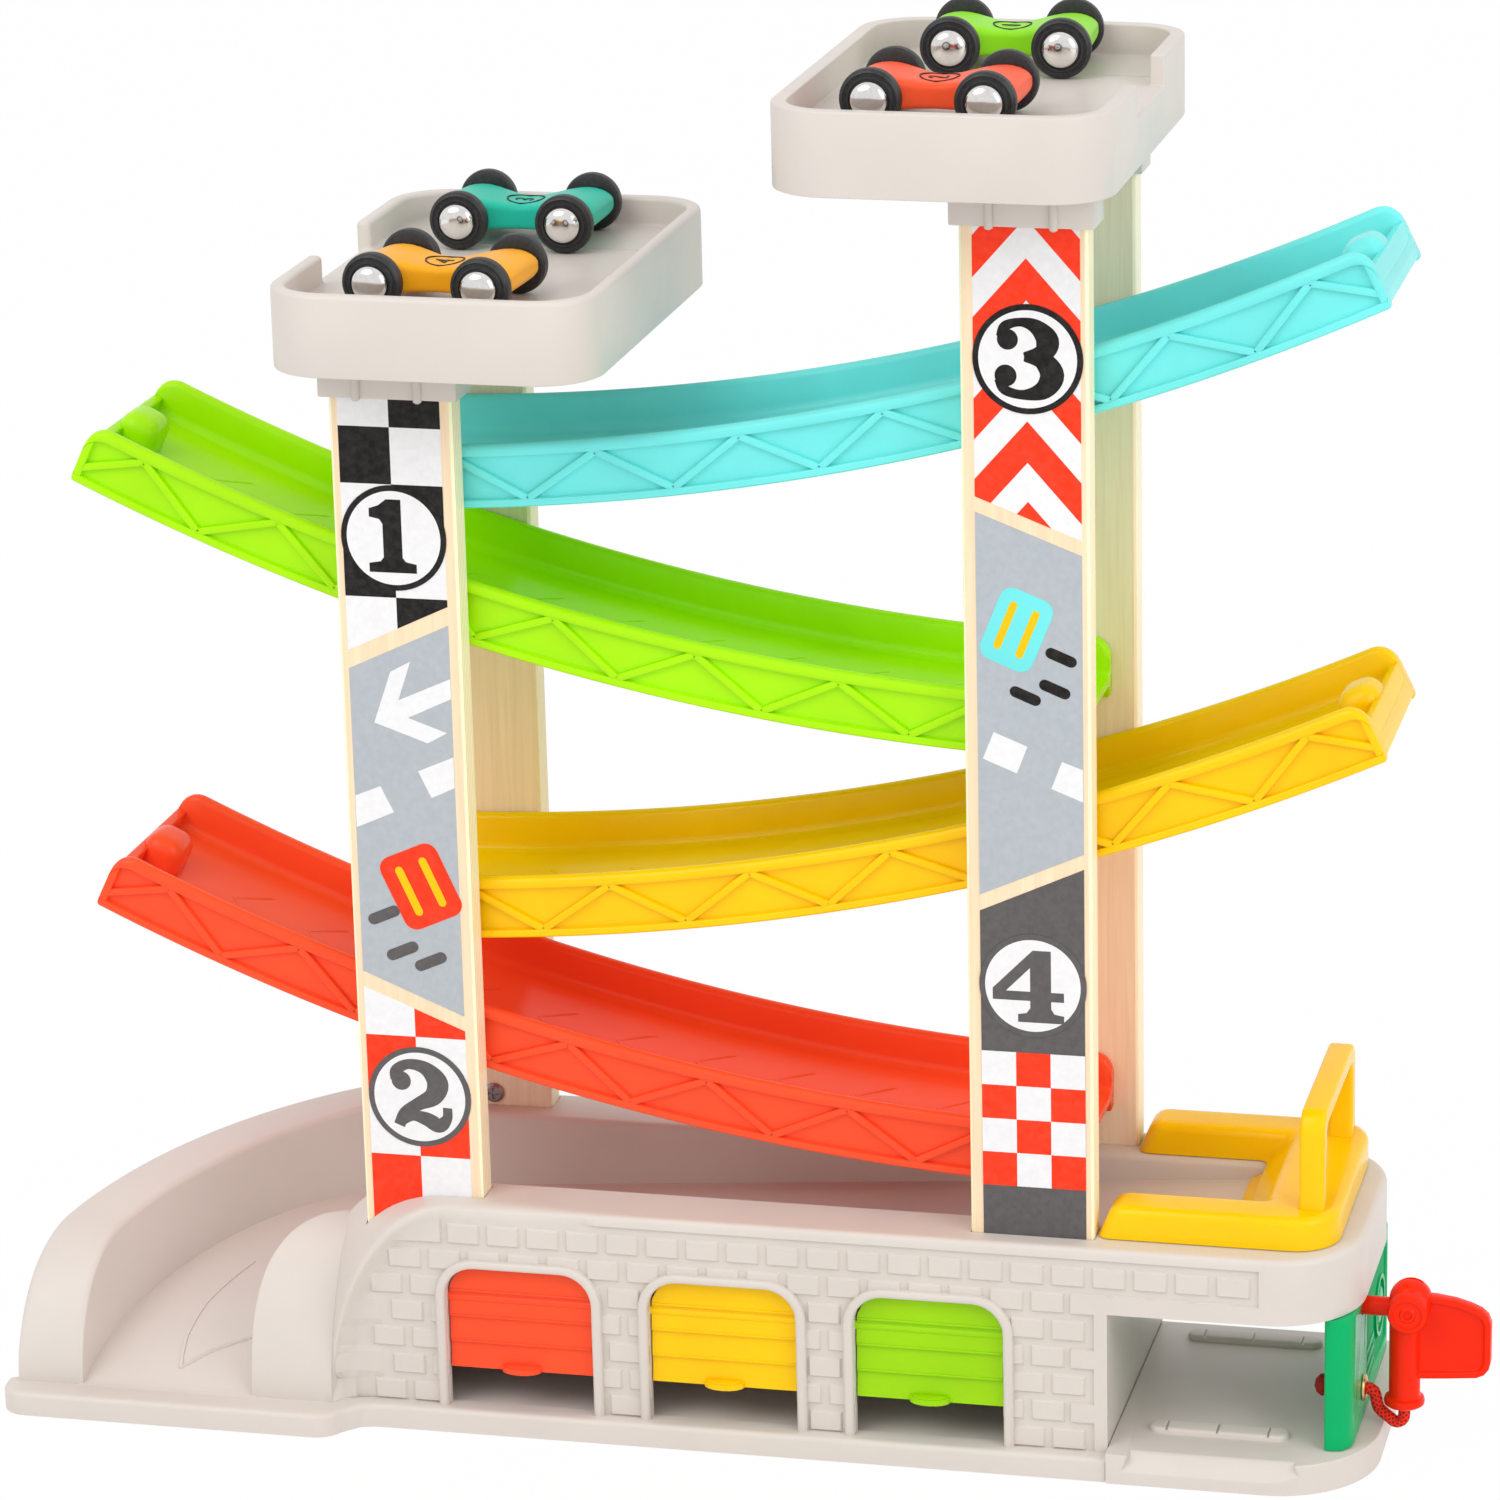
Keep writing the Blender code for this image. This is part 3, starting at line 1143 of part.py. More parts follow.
def make_axle(name, end, x, frame):
    """An axle with its two domed ends, and the two wheels that turn with it."""
    outer = WHEEL_TRACK / 2 + WHEEL_WIDTH / 2
    seat = outer + GAP
    tip = seat + HUB_DOME
    half = [(AXLE_RADIUS, seat), (HUB_RADIUS, seat), (HUB_RADIUS * 0.92, seat + 0.45 * HUB_DOME),
            (HUB_RADIUS * 0.6, seat + 0.85 * HUB_DOME), (0, tip)]
    profile = [(r, -y) for r, y in reversed(half)] + half
    axle = finish("car_%s_axle_%s" % (name, end), turned_solid(profile, 12), "steel", 40)
    axle.location = (x, 0, 0)
    axle.parent = frame
    for hand, sign in (("near", -1), ("far", 1)):
        bore = AXLE_RADIUS + GAP
        w = WHEEL_WIDTH / 2
        r = WHEEL_RADIUS
        ring = ((bore, -w), (r - WHEEL_ROUND, -w), (r, -w + WHEEL_ROUND), (r, w - WHEEL_ROUND),
                (r - WHEEL_ROUND, w), (bore, w))
        wheel = finish("car_%s_wheel_%s_%s" % (name, end, hand), turned(ring, 18), "tyre", 40)
        wheel.location = (x, sign * WHEEL_TRACK / 2, 0)
        wheel.parent = frame


def main():
    clear_scene()
    make_housing()
    make_base_floor()
    make_station_floor()
    make_guard()
    make_pump()
    make_eyelet()
    make_nozzle()
    make_rope()
    for name, colour, x in zip(("door_red", "door_yellow", "door_green"),
                               ("red", "yellow", "green"), door_centres()):
        make_door(name, colour, x)
    for name, x, front, back in post_places():
        make_post(name, x, front, back)
        if front > 0:
            make_screw(name.replace("post_rear", "screw"), x)
    for name, colour, side, low in track_levels():
        make_track(name, colour, side, low)
    make_deck("deck_left", -1, LEFT_RIM)
    make_deck("deck_right", 1, RIGHT_RIM)
    for row in CARS:
        make_car(*row)


main()
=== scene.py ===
"""Looks of the toy garage: finishes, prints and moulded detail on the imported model."""

import math

import bmesh
import bpy
from mathutils import Matrix, Vector


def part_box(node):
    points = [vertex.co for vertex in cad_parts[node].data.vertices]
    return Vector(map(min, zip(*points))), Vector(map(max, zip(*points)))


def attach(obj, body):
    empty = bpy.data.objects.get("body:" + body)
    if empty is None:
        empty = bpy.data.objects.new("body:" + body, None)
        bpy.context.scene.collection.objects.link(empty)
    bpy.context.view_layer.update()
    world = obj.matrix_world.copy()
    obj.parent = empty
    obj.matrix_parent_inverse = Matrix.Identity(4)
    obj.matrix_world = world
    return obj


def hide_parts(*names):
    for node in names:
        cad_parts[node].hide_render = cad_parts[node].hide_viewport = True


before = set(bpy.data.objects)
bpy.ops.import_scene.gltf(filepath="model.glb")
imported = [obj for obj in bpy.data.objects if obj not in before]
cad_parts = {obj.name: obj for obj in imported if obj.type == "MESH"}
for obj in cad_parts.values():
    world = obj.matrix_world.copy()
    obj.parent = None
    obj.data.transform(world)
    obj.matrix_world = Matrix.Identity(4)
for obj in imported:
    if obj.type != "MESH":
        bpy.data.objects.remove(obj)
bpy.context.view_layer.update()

bl_info = {
    "name": "Toy Garage",
    "version": (1, 0, 0),
    "blender": (4, 5, 0),
    "location": "3D View > Sidebar > Toy Garage",
    "description": "Dresses the toy garage's packed model and sets up its stage",
    "category": "Object",
}

MM = 0.001
PHOTO = 1500

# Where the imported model's pieces are
POST_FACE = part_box("post_front_left")[0][1]
POST_LEFT = (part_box("post_front_left")[0][0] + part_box("post_front_left")[1][0]) / 2
POST_RIGHT = (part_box("post_front_right")[0][0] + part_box("post_front_right")[1][0]) / 2
BASE_TOP = 75.3 * MM
WALL_FACE = -52.1 * MM
PLINTH_TOP = 7.7 * MM
LEFT_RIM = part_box("deck_left")[1][2]
RIGHT_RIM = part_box("deck_right")[1][2]
ROPE_Y = -20.0 * MM

# The tracks' curve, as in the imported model
TRACK_RADIUS = 747.0 * MM
TRACK_CENTRE = 124.0 * MM
TRACK_LOWEST = 104.5 * MM
TRACK_PITCH = 69.3 * MM
TRACK_START = math.degrees(math.asin(15.0 / 747.0))
TRACK_RISE = 25.5
TRACK_HALF = 34.1 * MM
TRACK_CORNER = 6.5 * MM
TRACK_TOE = 1.0 * MM
TRACKS = (("red", -1), ("yellow", 1), ("green", -1), ("teal", 1))
CARS = ("teal", "orange", "green", "red")
DOORS = (("red", -65.8 * MM), ("yellow", 0.0), ("green", 65.8 * MM))


# Sizes and colours that a user would change

def length_size(name, description, default, low=0.0002, high=0.1):
    return bpy.props.FloatProperty(name=name, description=description, default=default,
                                   min=low, max=high, unit="LENGTH", precision=4)


def tint(name, description, default):
    return bpy.props.FloatVectorProperty(name=name, description=description, default=default,
                                         size=3, min=0.0, max=1.0, subtype="COLOR")


class GarageSizes(bpy.types.PropertyGroup):
    """Sizes of the moulded detail."""

    brick_length: length_size("Brick length", "Length of a raised brick", 10.0 * MM)
    brick_height: length_size("Brick height", "Height of a raised brick", 6.2 * MM)
    brick_pitch: length_size("Brick pitch", "Distance from brick to brick in a row", 12.87 * MM)
    row_pitch: length_size("Row pitch", "Distance from one row of bricks to the next", 9.08 * MM)
    wall_recess: length_size("Wall recess", "Depth of the mortar between the bricks", 0.9 * MM)
    rib_width: length_size("Rib width", "Width of the zigzag ribs on the tracks' sides", 2.1 * MM)
    side_recess: length_size("Side recess", "Depth of the fields between the tracks' ribs", 1.9 * MM)
    sticker_width: length_size("Sticker width", "Width of the printed strip on a post", 32.2 * MM)
    disc_radius: length_size("Disc radius", "Outer radius of a number disc", 16.6 * MM)
    disc_ring: length_size("Disc ring", "Width of the ring round a number disc", 1.8 * MM)


class GarageColours(bpy.types.PropertyGroup):
    """Colours of the mouldings, the boards and the prints."""

    shell: tint("Base", "Warm grey of the base and the decks", (0.68, 0.622, 0.572))
    wood: tint("Wood", "Pale board of the posts", (0.96, 0.74, 0.50))
    # The rear boards are the wood painted lighter, to stand in for light in the shade of the decks
    # and tracks: painted light
    wood_rear: tint("Rear wood", "Board of the rear posts, painted lighter against the decks' shade", (1.0, 0.80, 0.58))
    teal: tint("Teal", "Top track", (0.18, 0.80, 0.78))
    green: tint("Green", "Third track", (0.41, 0.84, 0.001))
    green_door: tint("Green door", "Right door", (0.33, 0.67, 0.001))
    yellow: tint("Yellow", "Second track, guard and middle door", (1.0, 0.58, 0.001))
    red: tint("Red", "Lowest track and left door", (1.0, 0.085, 0.025))
    pump: tint("Pump", "Pump panel", (0.0, 0.44, 0.135))
    nozzle: tint("Nozzle", "Nozzle and its rope", (0.93, 0.022, 0.002))
    car_teal: tint("Teal car", "Teal car's body", (0.014, 0.52, 0.375))
    car_orange: tint("Orange car", "Orange car's body", (1.0, 0.42, 0.006))
    car_green: tint("Green car", "Green car's body", (0.275, 0.745, 0.01))
    car_red: tint("Red car", "Red car's body", (1.0, 0.10, 0.027))
    print_white: tint("Print white", "White of the printed strips", (0.86, 0.85, 0.86))
    print_black: tint("Print black", "Black of the printed strips", (0.012, 0.010, 0.009))
    print_red: tint("Print red", "Red of the printed strips", (1.0, 0.042, 0.008))
    print_grey: tint("Print grey", "Pale grey of the printed strips", (0.45, 0.485, 0.515))
    print_dark: tint("Print dark", "Dark grey of the printed strips", (0.115, 0.105, 0.105))


class GarageLight(bpy.types.PropertyGroup):
    """Light on the stage."""

    sky: bpy.props.FloatProperty(name="Sky", description="Strength of the even light",
                                 default=0.88, min=0.0, max=2.0)
    key: bpy.props.FloatProperty(name="Key lamp", description="Power of the lamp over the left",
                                 default=14.5, min=0.0, max=100.0, unit="POWER")
    fill: bpy.props.FloatProperty(name="Fill lamp", description="Power of the lamp on the right",
                                  default=12.0, min=0.0, max=100.0, unit="POWER")


# Finishes

def node(material, kind, values=(), links=()):
    """A shader node with its inputs set and wired."""
    made = material.node_tree.nodes.new(kind)
    for key, value in values:
        if isinstance(key, str) and hasattr(made, key) and key not in made.inputs:
            setattr(made, key, value)
        else:
            made.inputs[key].default_value = value
    for key, source in links:
        material.node_tree.links.new(source, made.inputs[key])
    return made


def wire(material, source, target):
    """Link one node's output to another's input."""
    material.node_tree.links.new(source, target)


def blank(name):
    """A new material with its shader and its object coordinates; no shader if it is made."""
    found = bpy.data.materials.get(name)
    if found:
        return found, None, None
    made = bpy.data.materials.new(name)
    made.use_nodes = True
    shader = made.node_tree.nodes["Principled BSDF"]
    place = node(made, "ShaderNodeTexCoord").outputs["Object"]
    return made, shader, place


def shades(material, factor, dark, light, low=0.3, high=0.7):
    """Two shades of a colour, spread over a pattern's value."""
    ramp = node(material, "ShaderNodeValToRGB", links=(("Fac", factor),))
    ramp.color_ramp.elements[0].position = low
    ramp.color_ramp.elements[1].position = high
    ramp.color_ramp.elements[0].color = (*dark, 1.0)
    ramp.color_ramp.elements[1].color = (*light, 1.0)
    return ramp.outputs["Color"]


def scaled(colour, share):
    """A colour made darker or lighter."""
    return tuple(min(1.0, c * share) for c in colour)


def moulded(name, colour, roughness, gloss_level, subsurface=0.0, grain=0.2, uneven=0.05):
    """Moulded plastic: slow unevenness of colour and gloss under a fine grain."""
    made, shader, place = blank(name)
    if shader is None:
        return made
    slow = node(made, "ShaderNodeTexNoise", (("Scale", 28.0), ("Detail", 3.0)),
                (("Vector", place),))
    dark, light = scaled(colour, 1 - uneven), scaled(colour, 1 + uneven)
    wire(made, shades(made, slow.outputs["Fac"], dark, light), shader.inputs["Base Color"])
    gloss = node(made, "ShaderNodeTexNoise", (("Scale", 140.0), ("Detail", 4.0)),
                 (("Vector", place),))
    spread = node(made, "ShaderNodeMapRange",
                  (("To Min", roughness * 0.82), ("To Max", roughness * 1.2)),
                  (("Value", gloss.outputs["Fac"]),))
    wire(made, spread.outputs["Result"], shader.inputs["Roughness"])
    fine = node(made, "ShaderNodeTexNoise", (("Scale", 1900.0), ("Detail", 2.0)),
                (("Vector", place),))
    bump = node(made, "ShaderNodeBump", (("Strength", grain), ("Distance", 0.00006)),
                (("Height", fine.outputs["Fac"]),))
    wire(made, bump.outputs["Normal"], shader.inputs["Normal"])
    shader.inputs["Specular IOR Level"].default_value = gloss_level
    shader.inputs["Subsurface Weight"].default_value = subsurface
    shader.inputs["Subsurface Scale"].default_value = 0.004
    return made


def board(name, colour):
    """Pale plywood: upright grain on the faces, thin layers along the edges, with painted light
    making the sides lighter.
    """
    made, shader, place = blank(name)
    if shader is None:
        return made
    stretch = node(made, "ShaderNodeMapping", (("Scale", (1.0, 1.0, 0.035)),),
                   (("Vector", place),))
    grain = node(made, "ShaderNodeTexNoise",
                 (("Scale", 520.0), ("Detail", 6.0), ("Roughness", 0.6), ("Distortion", 0.6)),
                 (("Vector", stretch.outputs["Vector"]),))
    face = shades(made, grain.outputs["Fac"], scaled(colour, 0.86), scaled(colour, 1.06),
                  0.25, 0.75)
    layers = node(made, "ShaderNodeTexWave",
                  (("Scale", 190.0), ("Distortion", 1.4), ("Detail", 2.0), ("Detail Scale", 30.0),
                   ("bands_direction", "Y")), (("Vector", stretch.outputs["Vector"]),))
    # The sides facing along X show the real layers, painted up to a third lighter than the faces:
    # painted light on the sides
    edge = shades(made, layers.outputs["Fac"], scaled(colour, 0.98), scaled(colour, 1.32),
                  0.2, 0.8)
    turned = node(made, "ShaderNodeSeparateXYZ",
                  links=(("Vector", node(made, "ShaderNodeNewGeometry").outputs["Normal"]),))
    side = node(made, "ShaderNodeMath", (("operation", "ABSOLUTE"),), ((0, turned.outputs["X"]),))
    steep = node(made, "ShaderNodeMath", (("operation", "GREATER_THAN"), (1, 0.6)),
                 ((0, side.outputs[0]),))
    mix = node(made, "ShaderNodeMix", (("data_type", "RGBA"),))
    wire(made, steep.outputs[0], mix.inputs[0])
    wire(made, face, mix.inputs[6])
    wire(made, edge, mix.inputs[7])
    wire(made, mix.outputs[2], shader.inputs["Base Color"])
    bump = node(made, "ShaderNodeBump", (("Strength", 0.3), ("Distance", 0.0001)),
                (("Height", grain.outputs["Fac"]),))
    wire(made, bump.outputs["Normal"], shader.inputs["Normal"])
    shader.inputs["Roughness"].default_value = 0.5
    shader.inputs["Specular IOR Level"].default_value = 0.25
    return made


def ink(name, colour):
    """Printed foil: even colour with faint rubbed specks and a soft sheen."""
    made, shader, place = blank(name)
    if shader is None:
        return made
    specks = node(made, "ShaderNodeTexNoise", (("Scale", 480.0), ("Detail", 5.0)),
                  (("Vector", place),))
    lift = tuple(c + 0.02 for c in colour)
    wire(made, shades(made, specks.outputs["Fac"], scaled(colour, 0.95), lift, 0.35, 0.78),
         shader.inputs["Base Color"])
    bump = node(made, "ShaderNodeBump", (("Strength", 0.2), ("Distance", 0.00004)),
                (("Height", specks.outputs["Fac"]),))
    wire(made, bump.outputs["Normal"], shader.inputs["Normal"])
    shader.inputs["Roughness"].default_value = 0.42
    shader.inputs["Specular IOR Level"].default_value = 0.15
    return made


def braid(name, colour):
    """Braided cord: two crossing sets of strands along the piece's own UV map, with painted shade in
    the grooves between them.
    """
    made, shader, place = blank(name)
    if shader is None:
        return made
    along = node(made, "ShaderNodeTexCoord").outputs["UV"]
    heights = []
    for lean in (1.0, -1.0):
        turn = node(made, "ShaderNodeMapping",
                    (("Rotation", (0.0, 0.0, lean * math.radians(42))), ("Scale", (16.0, 5.0, 1.0))),
                    (("Vector", along),))
        strand = node(made, "ShaderNodeTexWave", (("Scale", 0.55), ("wave_profile", "SIN")),
                      (("Vector", turn.outputs["Vector"]),))
        heights.append(strand.outputs["Fac"])
    top = node(made, "ShaderNodeMath", (("operation", "MAXIMUM"),),
               ((0, heights[0]), (1, heights[1])))
    # The colour falls to a third of itself where the strands dip: painted shade in the grooves
    wire(made, shades(made, top.outputs[0], scaled(colour, 0.35), scaled(colour, 1.05), 0.3, 0.8),
         shader.inputs["Base Color"])
    bump = node(made, "ShaderNodeBump", (("Strength", 0.9), ("Distance", 0.0004)),
                (("Height", top.outputs[0]),))
    wire(made, bump.outputs["Normal"], shader.inputs["Normal"])
    shader.inputs["Roughness"].default_value = 0.8
    return made


def metal(name, colour, roughness):
    """Metal with faint turning marks."""
    made, shader, place = blank(name)
    if shader is None:
        return made
    marks = node(made, "ShaderNodeTexNoise", (("Scale", 700.0), ("Detail", 3.0)),
                 (("Vector", place),))
    wire(made, shades(made, marks.outputs["Fac"], scaled(colour, 0.9), colour),
         shader.inputs["Base Color"])
    spread = node(made, "ShaderNodeMapRange",
                  (("To Min", roughness * 0.7), ("To Max", roughness * 1.4)),
                  (("Value", marks.outputs["Fac"]),))
    wire(made, spread.outputs["Result"], shader.inputs["Roughness"])
    shader.inputs["Metallic"].default_value = 1.0
    return made


def rubber(name):
    """Black tyre plastic with a dry, lightly mottled surface."""
    made, shader, place = blank(name)
    if shader is None:
        return made
    mottle = node(made, "ShaderNodeTexNoise", (("Scale", 900.0), ("Detail", 4.0)),
                  (("Vector", place),))
    wire(made, shades(made, mottle.outputs["Fac"], (0.009, 0.009, 0.010), (0.026, 0.025, 0.027)),
         shader.inputs["Base Color"])
    bump = node(made, "ShaderNodeBump", (("Strength", 0.3), ("Distance", 0.0001)),
                (("Height", mottle.outputs["Fac"]),))
    wire(made, bump.outputs["Normal"], shader.inputs["Normal"])
    shader.inputs["Roughness"].default_value = 0.45
    return made


def finish_for(name):
    """The finish of each kind of piece."""
    colours = bpy.context.scene.toy_garage_colours
    colour = getattr(colours, name, None)
    if name == "shell":
        return moulded("base_plastic", colour, 0.38, 0.35, grain=0.3, uneven=0.025)
    if name == "wood":
        return board("plywood_board", colour)
    # The rear boards' lighter wood is painted light for the shade they stand in
    if name == "wood_rear":
        return board("rear_board", colour)
    if name == "green_door":
        return moulded("green_door_plastic", colour, 0.24, 0.2, 0.1, 0.12)
    if name in ("teal", "green", "yellow", "red"):
        return moulded(name + "_plastic", colour, 0.2, 0.2, 0.1, 0.12)
    if name in ("pump", "nozzle"):
        return moulded(name + "_plastic", colour, 0.24, 0.15)
    if name.startswith("car_"):
        return moulded(name + "_paint", colour, 0.36, 0.22, grain=0.5)
    if name.startswith("print_"):
        return ink(name.replace("print_", "print_ink_"), colour)
    if name == "rope":
        return braid("braided_rope", colours.nozzle)
    if name == "tyre":
        return rubber("tyre_black")
    if name == "steel":
        return metal("polished_hub", (0.86, 0.84, 0.82), 0.12)
    if name == "brass":
        return metal("brass_eyelet", (0.72, 0.46, 0.20), 0.3)
    if name == "screw":
        return metal("screw_zinc", (0.36, 0.31, 0.33), 0.35)
    raise RuntimeError("no finish is named " + name)


# Shapes

def solid(points, shift):
    """A closed plate: one face on its corner points, drawn out by a shift."""
    bm = bmesh.new()
    face = bm.faces.new([bm.verts.new(p) for p in points])
    drawn = bmesh.ops.extrude_face_region(bm, geom=[face])
    bmesh.ops.translate(bm, vec=shift,
                        verts=[v for v in drawn["geom"] if isinstance(v, bmesh.types.BMVert)])
    bmesh.ops.recalc_face_normals(bm, faces=bm.faces)
    return bm


def frame_solid(outer, inner, shift):
    """A closed frame between two outlines, drawn out by a shift."""
    shift = Vector(shift)
    hole = solid([Vector(p) - shift / 2 for p in inner], 2 * shift)
    return subtract(solid(outer, shift), [hole])


def block(size, place, turn=None):
    """A rectangular block by its middle, optionally turned."""
    bm = bmesh.new()
    matrix = Matrix.Translation(place)
    if turn is not None:
        matrix = matrix @ turn
    bmesh.ops.create_cube(bm, size=1.0, matrix=matrix @ Matrix.Diagonal((*size, 1.0)))
    return bm


def lathed(profile, steps, place, axis):
    """A profile of (radius, along) points turned about an axis through a place."""
    bm = bmesh.new()
    verts = [bm.verts.new((r, 0, h)) for r, h in profile]
    edges = [bm.edges.new(pair) for pair in zip(verts, verts[1:])]
    bmesh.ops.spin(bm, geom=verts + edges, cent=(0, 0, 0), axis=(0, 0, 1), dvec=(0, 0, 0),
                   angle=2 * math.pi, steps=steps, use_merge=True)
    bmesh.ops.remove_doubles(bm, verts=bm.verts, dist=1e-6)
    bmesh.ops.holes_fill(bm, edges=[e for e in bm.edges if e.is_boundary], sides=0)
    turn = Vector(axis).to_track_quat("Z", "Y").to_matrix().to_4x4()
    bmesh.ops.transform(bm, matrix=Matrix.Translation(place) @ turn, verts=bm.verts)
    bmesh.ops.recalc_face_normals(bm, faces=bm.faces)
    return bm


def rounded(bm, offset, segments=2, angle=40.0, chosen=None):
    """Round the sharp edges of a shape."""
    edges = [e for e in bm.edges if e.is_manifold and e.calc_face_angle(0.0) > math.radians(angle)
             and (chosen is None or chosen(e))]
    if edges:
        bmesh.ops.bevel(bm, geom=edges, offset=offset, offset_type="OFFSET", segments=segments,
                        profile=0.5, affect="EDGES", clamp_overlap=True, material=-1)
    return bm


def join(target, source, slot=0):
    """Move a shape into another one, with its material slot's number."""
    for face in source.faces:
        face.material_index = slot
    mesh = bpy.data.meshes.new("joined")
    source.to_mesh(mesh)
    source.free()
    target.from_mesh(mesh)
    bpy.data.meshes.remove(mesh)
    return target


def arc(cx, cy, radius, start, end, steps):
    """Points along a round stretch between two angles in degrees."""
    turns = [math.radians(start + (end - start) * k / steps) for k in range(steps + 1)]
    return [(cx + radius * math.cos(t), cy + radius * math.sin(t)) for t in turns]


def rounded_corners(x0, x1, y0, y1, radius, steps=5):
    """A rectangle's outline with round corners."""
    return (arc(x0 + radius, y0 + radius, radius, 180, 270, steps)
            + arc(x1 - radius, y0 + radius, radius, 270, 360, steps)
            + arc(x1 - radius, y1 - radius, radius, 0, 90, steps)
            + arc(x0 + radius, y1 - radius, radius, 90, 180, steps))


def doorway(x, width, low, top, corner):
    """A doorway's outline in X and Z."""
    left, right = x - width / 2, x + width / 2
    return ([(left, low), (right, low)] + arc(right - corner, top - corner, corner, 0, 90, 8)
            + arc(left + corner, top - corner, corner, 90, 180, 8))


def upright(points, y):
    """Points of an X and Z outline, standing at a Y."""
    return [(x, y, z) for x, z in points]


def level(points, z):
    """Points of an X and Y outline, lying at a height."""
    return [(x, y, z) for x, y in points]


def node_copy(name, dissolve=0.5):
    """A CAD node's shape with its loose triangles joined and its flat faces whole."""
    bm = bmesh.new()
    bm.from_mesh(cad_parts[name].data)
    bmesh.ops.remove_doubles(bm, verts=bm.verts, dist=1e-6)
    bmesh.ops.dissolve_limit(bm, angle_limit=math.radians(dissolve), verts=bm.verts,
                             edges=bm.edges, use_dissolve_boundaries=False, delimit=set())
    return bm


def subtract(bm, tools):
    """Cut shapes out of a shape."""
    whole = plain_object("cut_whole", bm)
    for tool in tools:
        other = plain_object("cut_tool", tool)
        cut = whole.modifiers.new("cut", "BOOLEAN")
        cut.operation = "DIFFERENCE"
        cut.solver = "EXACT"
        cut.object = other
        mesh = bpy.data.meshes.new_from_object(
            whole.evaluated_get(bpy.context.evaluated_depsgraph_get()))
        whole.modifiers.clear()
        old = whole.data
        whole.data = mesh
        bpy.data.meshes.remove(old)
        drop(other)
    result = bmesh.new()
    result.from_mesh(whole.data)
    drop(whole)
    return result


def plain_object(name, bm):
    """An object with no finish, for a cut or the stage."""
    mesh = bpy.data.meshes.new(name)
    bm.to_mesh(mesh)
    bm.free()
    made = bpy.data.objects.new(name, mesh)
    bpy.context.scene.collection.objects.link(made)
    bpy.context.view_layer.update()
    return made


def drop(obj):
    """Remove an object and its mesh."""
    mesh = obj.data
    bpy.data.objects.remove(obj)
    bpy.data.meshes.remove(mesh)


def piece(name, bm, finishes, body, replaces=(), smooth=35.0):
    """Finish a shape as a piece that rides on a body."""
    if not bm.faces:
        raise RuntimeError(name + " has no faces")
    mesh = bpy.data.meshes.new(name)
    bm.to_mesh(mesh)
    bm.free()
    for each in finishes:
        mesh.materials.append(finish_for(each))
    mesh.shade_smooth()
    mesh.set_sharp_from_angle(angle=math.radians(smooth))
    made = bpy.data.objects.new(name, mesh)
    bpy.context.scene.collection.objects.link(made)
    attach(made, body)
    if replaces:
        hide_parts(*replaces)
    return made


class GarageOperator:
    """Shared by the operators that make the pieces."""

    bl_options = {"REGISTER", "UNDO"}

    def execute(self, context):
        self.make(context.scene.toy_garage_sizes)
        return {"FINISHED"}


# The base

# The base's lines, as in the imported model
PIVOT_X, PIVOT_Y = -126.65 * MM, -56.9 * MM
INNER_WALL = 26.5 * MM
CHANNEL_OUTER = 83.0 * MM
BASE_OUTER = 104.5 * MM
NOSE_FRONT = -57.9 * MM
CHANNEL_FRONT = PIVOT_Y + INNER_WALL
CHANNEL_REAR = PIVOT_Y + CHANNEL_OUTER
BASE_REAR = PIVOT_Y + BASE_OUTER
GARAGE_RIGHT = 122.15 * MM
ROOF_RIGHT = 198.75 * MM
ROOF_UNDER = 54.0 * MM
ROOF_CORNER = 28.0 * MM
ROOF_INNER = ROOF_CORNER - (BASE_OUTER - CHANNEL_OUTER)
WALL = 3.0 * MM
TOP_ROUND = 2.2 * MM
FLOOR_EXIT, FLOOR_LOW, FLOOR_RISE, FLOOR_RUN = 8.3 * MM, 48.0 * MM, 23.5 * MM, 302.65 * MM
FLOOR_LAP = 1.5 * MM
RIM_START, RIM_PER_DEGREE = 44 * MM, 32.3 * MM / 84
NOSE_REACH, NOSE_LEAN = 65 * MM, 1.6
PLINTH_FRONT = -56.9 * MM

# The brick rows: the first one's top, their number, and where a row's first brick starts
ROW_TOP, ROW_COUNT = 68.8 * MM, 7
FIRST_BRICK, SHIFTED_BRICK = -113.9 * MM, -107.5 * MM
BRICK_SOFT = 0.3 * MM

# The sunk field's borders: the top row's ends, then the ends of odd and even rows
FIELD_TOP, FIELD_SOFT = 71.6 * MM, 0.15 * MM
TOP_ROW_LEFT, TOP_ROW_RIGHT = -90.5 * MM, 169.2 * MM
ODD_LEFT, ODD_RIGHT = -111 * MM, 110.6 * MM
EVEN_LEFT, EVEN_RIGHT = -120 * MM, 117.9 * MM

# The garages' openings in the wall
GARAGE_WIDTH, GARAGE_LOW, GARAGE_TOP, GARAGE_CORNER = (v * MM for v in (47.2, 7.5, 54.9, 9.7))


def smooth(share):
    """An even rise from 0 to 1 that starts and ends flat."""
    share = min(1.0, max(0.0, share))
    return share * share * (3 - 2 * share)


def skin(sections):
    """A closed shell over a row of closed sections with equal numbers of points."""
    count = len(sections[0])
    bm = bmesh.new()
    bmesh.ops.create_grid(bm, x_segments=count, y_segments=len(sections) - 1, size=0.5)
    bm.verts.ensure_lookup_table()
    for k, vert in enumerate(bm.verts):
        row, column = divmod(k, count + 1)
        vert.co = sections[row][column % count]
    bmesh.ops.remove_doubles(bm, verts=bm.verts, dist=2e-6)
    bmesh.ops.dissolve_degenerate(bm, dist=1e-6, edges=bm.edges)
    bmesh.ops.holes_fill(bm, edges=[e for e in bm.edges if e.is_boundary], sides=0)
    bmesh.ops.recalc_face_normals(bm, faces=bm.faces)
    return bm


